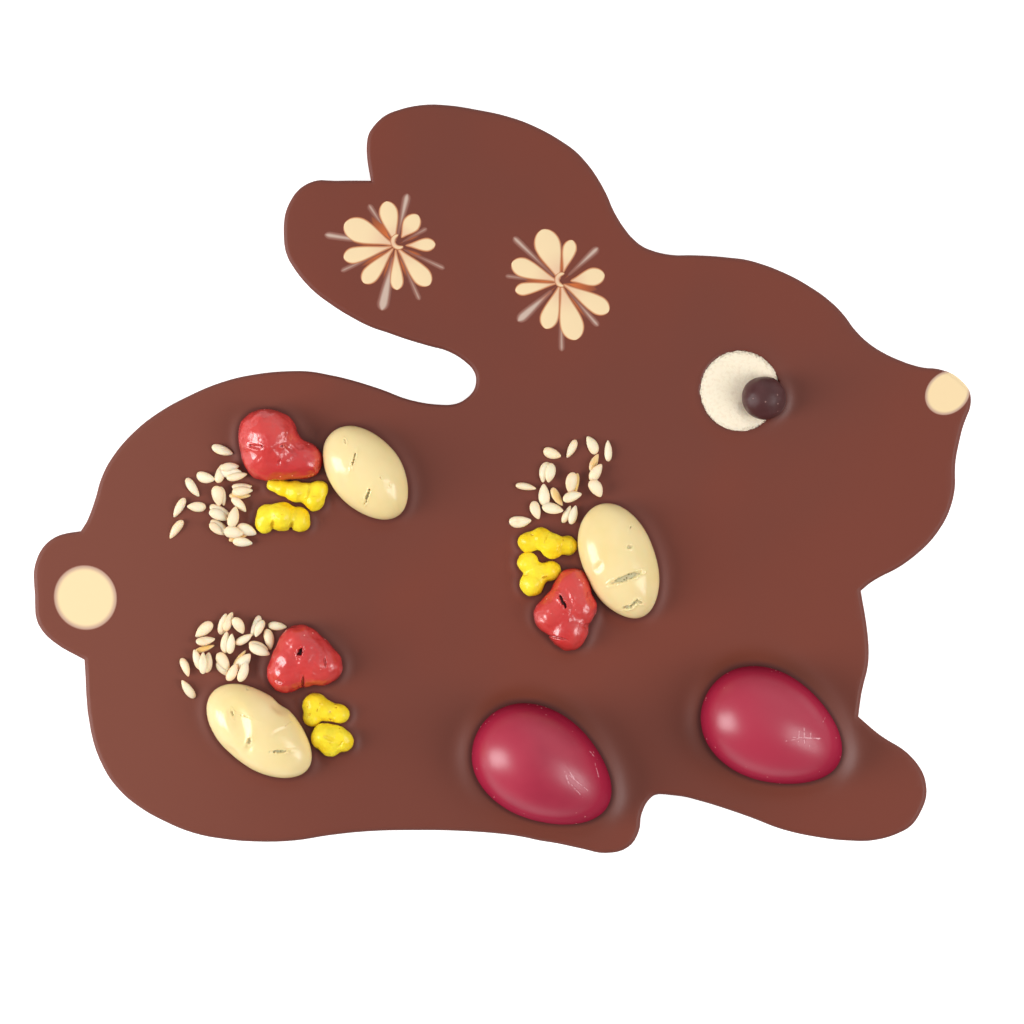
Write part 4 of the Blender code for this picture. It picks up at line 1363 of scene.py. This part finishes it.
def strewn_seeds(blends):
    """Where each seed lies: x, y, heading, length, width, lift, and whether it is toasted."""
    draw = random.Random(SEED_DRAW)
    seeds, taken = [], []
    for drift in DRIFTS:
        left, tries = drift.count, SEED_TRIES
        while left and tries:
            tries -= 1
            bearing = draw.uniform(0.0, 2 * math.pi)
            out = math.sqrt(draw.random())
            x = drift.x + drift.half_length * out * math.cos(bearing)
            y = drift.y + drift.half_width * out * math.sin(bearing)
            heading = drift.heading + draw.uniform(-drift.wander, drift.wander)
            length = draw.uniform(*SEED_LENGTH)
            width = draw.uniform(*SEED_WIDTH)
            lift = draw.uniform(0.0, SEED_LIFT)
            line = spine(x, y, heading, length, width)
            clear = all(
                topping_gap(kind, shape, *spot, blends) > width / 2
                for spot in line
                for kind, shape in toppings()
            )
            level = 0
            for other, other_width, other_level in taken:
                room = min(math.dist(a, b) for a in line for b in other)
                room /= (width + other_width) / 2
                if room < SEED_SQUEEZE:
                    clear = False
                elif room < SEED_LAP:
                    level = max(level, other_level + 1)
            if clear and level < SEED_LEVELS:
                toasted = left > drift.count - drift.toasted
                lift += level * SEED_STEP
                seeds.append((x, y, heading, length, width, lift, toasted))
                taken.append((line, width, level))
                left -= 1
    return seeds


class BUNNY_OT_eggs(bpy.types.Operator):
    """Two crimson sugar eggs, pointed at one end"""

    bl_idname = "bunny.eggs"
    bl_label = "Sugar Eggs"

    def execute(self, context):
        glaze = egg_finish(context.scene.bunny_eggs)
        for number, (name, shape) in enumerate(EGGS.items()):
            bm = oval_ball(shape, EGG_TAPER, *OVAL_MESH)
            roughen(bm, *EGG_UNEVENNESS, number * 3.7)
            carve(bm, EGG_MARKS[name], shape.z * MM, cuts=4)
            # The waist masks the painted shade round the widest line and thins the coat there
            waist = bm.verts.layers.float.new("waist")
            for vert in bm.verts:
                from_waist = abs(vert.co.z / MM - shape.z) / (shape.height / 2)
                vert[waist] = 1.0 - smooth(*WAIST_FADE, from_waist)
            add_piece(name + "_shell", bm, glaze, [name])
        return {"FINISHED"}


class BUNNY_OT_candies(bpy.types.Operator):
    """Three cream oval candies with their cracks and dents"""

    bl_idname = "bunny.candies"
    bl_label = "Cream Candies"

    def execute(self, context):
        glaze = candy_finish(context.scene.bunny_candies)
        floor = context.scene.bunny_slab.thickness
        for number, (name, shape) in enumerate(CANDIES.items()):
            bm = oval_ball(shape, CANDY_TAPER, *OVAL_MESH)
            roughen(bm, *CANDY_UNEVENNESS, number * 5.3)
            carve(bm, CANDY_MARKS[name], floor)
            add_piece(name + "_coating", bm, glaze, [name])
        return {"FINISHED"}


class BUNNY_OT_crunches(bpy.types.Operator):
    """Red and yellow lobed crunchy pieces"""

    bl_idname = "bunny.crunches"
    bl_label = "Crunchy Pieces"

    def execute(self, context):
        settings = context.scene.bunny_crunches
        face = context.scene.bunny_slab.thickness / MM
        reds = (RED_LOBES, RED_MARKS, red_finish(settings), "red_glaze", settings.red_blend)
        yellows = (
            YELLOW_LOBES,
            YELLOW_MARKS,
            yellow_finish(settings),
            "yellow_glaze",
            settings.yellow_blend,
        )
        for shapes, marks, glaze, slot, blend in (reds, yellows):
            for number, (name, lobes) in enumerate(shapes.items()):
                bm = lobed_ball(lobes, blend, *LOBED_MESH, face)
                roughen(bm, *CRUNCH_LUMPS, number * 2.9)
                roughen(bm, *CRUNCH_GRAIN, number * 1.7)
                carve(bm, marks[name], face * MM)
                # Mask of the painted shade on the red pieces' steep sides
                if shapes is RED_LOBES:
                    bm.normal_update()
                    side = bm.verts.layers.float.new("side")
                    for vert in bm.verts:
                        vert[side] = SIDE_SHADE_DEPTH * (1 - smooth(*SIDE_SHADE_FADE, vert.normal.z))
                add_piece(name + "_glaze", bm, glaze, [name])
        return {"FINISHED"}


class BUNNY_OT_eye(bpy.types.Operator):
    """A sugar disc with a dark pearl pressed into it"""

    bl_idname = "bunny.eye"
    bl_label = "Eye"

    def execute(self, context):
        settings = context.scene.bunny_eye
        disc, pearl = EYE_DISC, EYE_PEARL
        bm = bmesh.new()
        sides, rings = DISC_MESH
        bmesh.ops.create_uvsphere(bm, u_segments=sides, v_segments=rings, radius=1.0)
        stain = bm.verts.layers.float.new("stain")
        for vert in bm.verts:
            out = math.hypot(vert.co.x, vert.co.y)
            fuller = out**DISC_OUTLINE / max(out, 1e-6)
            ragged = 1.0
            if out > 0:
                edge = Vector((vert.co.x / out, vert.co.y / out, vert.co.z)) * (disc.length / 2)
                grain = sum(noise.noise(edge / size) * share for size, share in DISC_GRAINS)
                ragged += grain * settings.grain / (disc.length / 2 * MM) * smooth(0.1, 0.9, out)
            vert.co.x *= fuller * ragged * disc.length / 2 * MM
            vert.co.y *= fuller * ragged * disc.width / 2 * MM
            height = abs(vert.co.z) ** DISC_FLATNESS * math.copysign(1.0, vert.co.z)
            vert.co.z = height * disc.height / 2 * MM
        put(bm, disc.x, disc.y, disc.z, 0.0)
        centre = Vector((pearl.x, pearl.y))
        grain_size, grain_height = FACE_GRAIN
        for vert in bm.verts:
            spot = Vector((vert.co.x, vert.co.y)) / MM
            away = (spot - centre).length - pearl.length / 2
            if vert.co.z > disc.z * MM:
                vert.co.z -= PRESSED * (1 - smooth(*PRESSED_FADE, away)) * MM
                grain = noise.noise(Vector((spot.x, spot.y, 0.0)) / grain_size)
                vert.co.z += grain * grain_height * MM
            # Painted shade round the pearl
            vert[stain] = PEARL_SHADE * (1 - smooth(*PEARL_SHADE_FADE, away))
        add_piece("eye_sugar", bm, sugar_finish(settings), ["eye_disc"])

        bm = oval_ball(pearl, 0.0, *PEARL_MESH)
        roughen(bm, *PEARL_UNEVENNESS, 4.0)
        add_piece("eye_pearl_shell", bm, pearl_finish(settings), ["eye_pearl"])
        return {"FINISHED"}


class BUNNY_OT_slab(bpy.types.Operator):
    """The poured slab, which climbs its toppings a little"""

    bl_idname = "bunny.slab"
    bl_label = "Chocolate Slab"

    def execute(self, context):
        settings = context.scene.bunny_slab
        thickness = settings.thickness
        points = outline_points(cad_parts["chocolate_slab"], settings.rim)
        bm = outline_body(points, thickness, settings.rim)
        grid_face(bm, settings.pitch)

        blends = lobe_blends()
        near_toppings = set()
        for face in bm.faces:
            middle = face.calc_center_median()
            if middle.z < thickness - FACE_TOLERANCE * MM or len(face.verts) > 4:
                continue
            for kind, shape in toppings():
                away = topping_gap(kind, shape, middle.x / MM, middle.y / MM, blends)
                if abs(away) < FINE_REACH * MENISCUS[kind].spread:
                    near_toppings.update(face.edges)
        bmesh.ops.subdivide_edges(bm, edges=list(near_toppings), cuts=3, use_grid_fill=True)
        raise_face(bm, settings, blends)
        add_piece(
            "chocolate", bm, chocolate_finish(settings), ["chocolate_slab"], 50
        )
        return {"FINISHED"}


class BUNNY_OT_dots(bpy.types.Operator):
    """White chocolate dots on the tail and the nose, flush with the face"""

    bl_idname = "bunny.dots"
    bl_label = "Tail and Nose Dots"

    def execute(self, context):
        settings = context.scene.bunny_dots
        slab = context.scene.bunny_slab
        points = outline_points(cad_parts["chocolate_slab"], slab.rim)
        for name, shape in (("tail_dot", TAIL_DOT), ("nose_dot", NOSE_DOT)):
            bm = bmesh.new()
            bmesh.ops.create_cone(
                bm, cap_ends=True, segments=128, radius1=0.5, radius2=0.5, depth=1.0
            )
            size = (shape.length * MM, shape.width * MM, 2 * shape.height * MM)
            bmesh.ops.scale(bm, verts=bm.verts, vec=size)
            put(bm, shape.x, shape.y, shape.z, shape.heading)
            finish = dot_finish(name + "_finish", settings, shape)
            dot = add_piece(name + "_skin", bm, finish, [name], 40)

            mesh = bpy.data.meshes.new("bounds")
            grown = outline_body(points, slab.thickness, slab.rim, settings.proud)
            grown.to_mesh(mesh)
            grown.free()
            bounds = add_object("bounds", mesh)
            modifier = dot.modifiers.new("bounds", "BOOLEAN")
            modifier.operation = "INTERSECT"
            modifier.object = bounds
            graph = context.evaluated_depsgraph_get()
            shaped = bpy.data.meshes.new_from_object(dot.evaluated_get(graph))
            dot.modifiers.clear()
            dot.data = shaped
            if not shaped.polygons:
                raise RuntimeError(f"{name} came out empty")
            bpy.data.objects.remove(bounds, do_unlink=True)
        return {"FINISHED"}


def pour(bm, middle, plan, rise):
    """Adds one low streak to a bmesh, on the waving face.

    The plan gives, for a share of the way along the streak, its middle, the direction across it,
    its half width in millimetres and how much of the root's colour shows.
    """
    slab = bpy.context.scene.bunny_slab
    inwards = bm.verts.layers.float["inwards"]
    root = bm.verts.layers.float["root"]
    for vert in add_ball(bm, *STREAK_MESH):
        along, across, up = vert.co
        ring = math.sqrt(max(1 - along * along, 1e-9))
        side = min(max(across / ring, -1.0), 1.0)
        spot, aside, half, rooted = plan((along + 1) / 2)
        x, y = Vector(middle) + spot + aside * side * half
        height = slab.thickness + face_wave(x, y, slab) + up / ring * min(half, 1.0) * rise
        vert.co = (x * MM, y * MM, height)
        vert[inwards] = (1 - abs(side)) * half
        vert[root] = rooted


def way_of(heading):
    """The way that a heading in degrees points, seen from above."""
    turn = math.radians(heading)
    return Vector((math.cos(turn), math.sin(turn)))


def teardrop(heading, start, reach, width, rooted, narrow=0.13, pointed=False):
    """The plan of a streak that runs straight out and widens, to a round or pointed end.

    Narrow is the share of its width that it starts with, and rooted the share of its length over
    which the root's colour fades.
    """
    out_way = way_of(heading)
    length = reach - start
    shoulder = SHOULDER if pointed else 1 - SHOULDER * width / length

    def plan(out):
        flare = narrow + (1 - narrow) * smooth(*FLARE, out / shoulder)
        cap = max(1 - max((out - shoulder) / (1 - shoulder), 0.0) ** 2, 0.0)
        cap = cap**POINT_POWER if pointed else math.sqrt(cap)
        opening = math.sqrt(min(out / OPENING, 1.0))
        half = flare * cap * opening * width / 2
        spot = out_way * (start + out * length)
        return spot, out_way.orthogonal(), half, 1 - smooth(0.0, rooted, out)

    return plan


def hook(x, y, radius, heading, sweep, width):
    """The plan of a streak that turns round a point beside the flower's middle."""

    def plan(out):
        out_way = way_of(heading + out * sweep)
        half = width / 2 * math.sqrt(max(1 - (2 * out - 1) ** 4, 0.0))
        return Vector((x, y)) + out_way * radius, out_way, half, 1 - abs(2 * out - 1)

    return plan


class BUNNY_OT_flowers(bpy.types.Operator):
    """Two marbled flowers of white chocolate in the ears"""

    bl_idname = "bunny.flowers"
    bl_label = "Marbled Flowers"

    def execute(self, context):
        settings = context.scene.bunny_flowers
        layers = {kind: bmesh.new() for kind in STREAK_RISE}
        for bm in layers.values():
            bm.verts.layers.float.new("inwards")
            bm.verts.layers.float.new("root")

        def add_streak(kind, middle, plan):
            pour(layers[kind], middle, plan, settings.height * STREAK_RISE[kind])

        for (middle, petals, wisps), broad, turned in zip(FLOWERS, BROAD_SMEARS, HOOKS):
            gap = math.degrees(math.atan2(turned[1], turned[0]))
            for number, (heading, reach, width) in enumerate(petals):
                start = HOOKED_START if abs(heading - gap) < HOOKED_SIDE else PETAL_START
                longer, wider = PETAL_FRINGE
                plan = teardrop(heading, start, reach + longer, width + wider, rooted=0.6)
                add_streak("petals", middle, plan)
                beside, beside_reach, _ = petals[number - 1]
                between = heading + ((beside - heading + 180) % 360 - 180) / 2
                reach = SMEAR_REACH * min(reach, beside_reach)
                width = BROAD_SMEAR_WIDTH if number in broad else SMEAR_WIDTH
                plan = teardrop(between, SMEAR_START, reach, width, rooted=1.3, pointed=True)
                add_streak("smears", middle, plan)
            for heading, reach, width, start in wisps:
                width += WISP_FRINGE
                plan = teardrop(heading, start, reach, width, rooted=0.45, narrow=0.4)
                add_streak("wisps", middle, plan)
            add_streak("hooks", middle, hook(*turned, HOOK_WIDTH))
        for kind, finish in marbled_finishes(settings).items():
            bm = layers[kind]
            add_piece("flower_" + kind, bm, finish, ["chocolate_slab"])
        return {"FINISHED"}


class BUNNY_OT_seeds(bpy.types.Operator):
    """Hulled sesame in three drifts, with a few toasted seeds"""

    bl_idname = "bunny.seeds"
    bl_label = "Sesame Seeds"

    def execute(self, context):
        settings = context.scene.bunny_seeds
        face = context.scene.bunny_slab.thickness / MM
        draw = random.Random(SEED_DRAW + 1)
        heaps = {}
        for toasted in (False, True):
            bm = bmesh.new()
            heaps[toasted] = (bm, bm.verts.layers.float.new("warmth_and_rim_shade"))
        for x, y, heading, length, width, lift, toasted in strewn_seeds(lobe_blends()):
            bm, warmth_and_rim_shade = heaps[toasted]
            warmth = draw.uniform(0.0, 0.4)
            bend = draw.uniform(-SEED_BEND, SEED_BEND)
            plump = TOASTED_PLUMPNESS if toasted else draw.uniform(*SEED_PLUMPNESS)
            tip_up = math.radians(draw.uniform(-SEED_TIP_UP, SEED_TIP_UP))
            roll = math.radians(draw.uniform(-SEED_ROLL, SEED_ROLL))
            turn = (
                Matrix.Rotation(math.radians(heading), 3, "Z")
                @ Matrix.Rotation(tip_up, 3, "Y")
                @ Matrix.Rotation(roll, 3, "X")
            )
            half_size = Vector((length, width, settings.height / MM)) / 2
            for vert in add_ball(bm, settings.sides, 10):
                along, across, up = vert.co
                drawn_in = 1.0 - settings.taper * along
                drawn_in *= 1.0 - SEED_TIP * smooth(0.3, 1.0, along)
                # Painted shade at the rim, over the seed's own warmth
                edge = 0.5 * smooth(0.45, 1.0, math.hypot(along, across))
                vert[warmth_and_rim_shade] = min(warmth + edge, 1.0)
                aside = across * drawn_in * plump + bend * along * along
                local = Vector((along, aside, up * drawn_in)) * half_size
                vert.co = (turn @ local + Vector((x, y, face + lift + SEED_BED))) * MM
        for toasted, (bm, _) in heaps.items():
            name = "toasted_sesame" if toasted else "hulled_sesame"
            colour = settings.toasted if toasted else settings.pale
            finish = seed_finish(name + "_finish", settings, colour)
            add_piece(name, bm, finish, ["chocolate_slab"])
        return {"FINISHED"}


def lay_table(colour):
    """A pale table that glows where the camera sees it, but hardly in reflections."""
    bm = bmesh.new()
    bmesh.ops.create_grid(bm, x_segments=1, y_segments=1, size=4.0)
    mesh = bpy.data.meshes.new("table")
    bm.to_mesh(mesh)
    bm.free()
    finish = Finish("table_finish", colour)
    finish.mottle([0.99 * value for value in colour], Scale=3.0, Low=0.3, High=0.7)
    finish.value("Roughness", 0.8)
    finish.value("Specular IOR Level", 0.1)
    finish.value("Emission Color", (1.0, 1.0, 1.0, 1.0))
    reflected = add_node(finish.tree, "LightPath", {})["Is Glossy Ray"]
    finish.feed("Emission Strength", finish.ramp(reflected, 0.0, 1.0, 0.85, 0.04))
    mesh.materials.append(finish.material)
    floor = add_object("table", mesh)


def hang_softbox(name, box, power):
    light = bpy.data.lights.new(name, "AREA")
    light.shape = "RECTANGLE"
    light.size = box.width
    light.size_y = box.height
    light.energy = power
    lamp = add_object(name, light)
    tip = math.radians(box.tip)
    out = Vector((*(way_of(box.bearing) * math.sin(tip)), math.cos(tip)))
    lamp.location = Vector(AIM) * MM + out * box.distance
    lamp.rotation_euler = out.to_track_quat("Z", "Y").to_euler()
    lamp.visible_camera = False
    lamp.visible_glossy = name != "upper_softbox"


def light_sky(scene):
    """A sky that is dim at the horizon and bright in one window."""
    scene.world = bpy.data.worlds.new("studio")
    scene.world.use_nodes = True
    tree = scene.world.node_tree
    way = add_node(tree, "TexCoord", {})["Generated"]
    height = add_node(tree, "SeparateXYZ", {"Vector": way})["Z"]
    inputs = {0: way, 1: WINDOW_WAY}
    nearness = add_node(tree, "VectorMath", inputs, operation="DOT_PRODUCT")["Value"]
    room = maths(
        tree,
        "MULTIPLY",
        soft_ramp(tree, height, *HORIZON_LIGHT),
        soft_ramp(tree, nearness, *ROOM_LIGHT),
    )
    strength = maths(tree, "MULTIPLY", room, soft_ramp(tree, nearness, *WINDOW_LIGHT))
    sky = tree.nodes["Background"].inputs
    sky["Color"].default_value = (1.0, 1.0, 1.0, 1.0)
    tree.links.new(strength, sky["Strength"])


def hang_camera(scene, distance):
    data = bpy.data.cameras.new("camera")
    data.sensor_width = SENSOR_WIDTH
    data.lens = SENSOR_WIDTH * distance / (SEEN_WIDTH * MM)
    data.clip_start = 0.05
    camera = add_object("camera", data)
    x, y = CAMERA_SPOT
    camera.location = (x * MM, y * MM, distance + scene.bunny_slab.thickness)
    scene.camera = camera


class BUNNY_OT_stage(bpy.types.Operator):
    """A pale table, three softboxes and the camera overhead"""

    bl_idname = "bunny.stage"
    bl_label = "Table, Light and Camera"

    def execute(self, context):
        settings = context.scene.bunny_stage
        lay_table(settings.floor)
        powers = (settings.left, settings.right, settings.top)
        for (name, box), power in zip(SOFTBOXES.items(), powers):
            hang_softbox(name, box, power)
        light_sky(context.scene)
        context.scene.view_settings.view_transform = "Standard"
        hang_camera(context.scene, settings.distance)
        return {"FINISHED"}


OPERATORS = (
    BUNNY_OT_eggs,
    BUNNY_OT_candies,
    BUNNY_OT_crunches,
    BUNNY_OT_eye,
    BUNNY_OT_slab,
    BUNNY_OT_dots,
    BUNNY_OT_flowers,
    BUNNY_OT_seeds,
    BUNNY_OT_stage,
)


class BUNNY_PT_panel(bpy.types.Panel):
    """Lists the steps in their order"""

    bl_idname = "BUNNY_PT_panel"
    bl_label = "Chocolate Bunny"
    bl_space_type = "VIEW_3D"
    bl_region_type = "UI"
    bl_category = "Chocolate Bunny"

    def draw(self, context):
        for operator in OPERATORS:
            self.layout.operator(operator.bl_idname)


def register():
    for name, settings in SETTINGS.items():
        bpy.utils.register_class(settings)
        setattr(bpy.types.Scene, name, PointerProperty(type=settings))
    for operator in OPERATORS:
        bpy.utils.register_class(operator)
    bpy.utils.register_class(BUNNY_PT_panel)


def unregister():
    bpy.utils.unregister_class(BUNNY_PT_panel)
    for operator in reversed(OPERATORS):
        bpy.utils.unregister_class(operator)
    for name, settings in reversed(SETTINGS.items()):
        delattr(bpy.types.Scene, name)
        bpy.utils.unregister_class(settings)


def main():
    register()
    bpy.ops.bunny.eggs()
    bpy.ops.bunny.candies()
    bpy.ops.bunny.crunches()
    bpy.ops.bunny.eye()
    bpy.ops.bunny.slab()
    bpy.ops.bunny.dots()
    bpy.ops.bunny.flowers()
    bpy.ops.bunny.seeds()
    bpy.ops.bunny.stage()


if __name__ == "__main__":
    main()
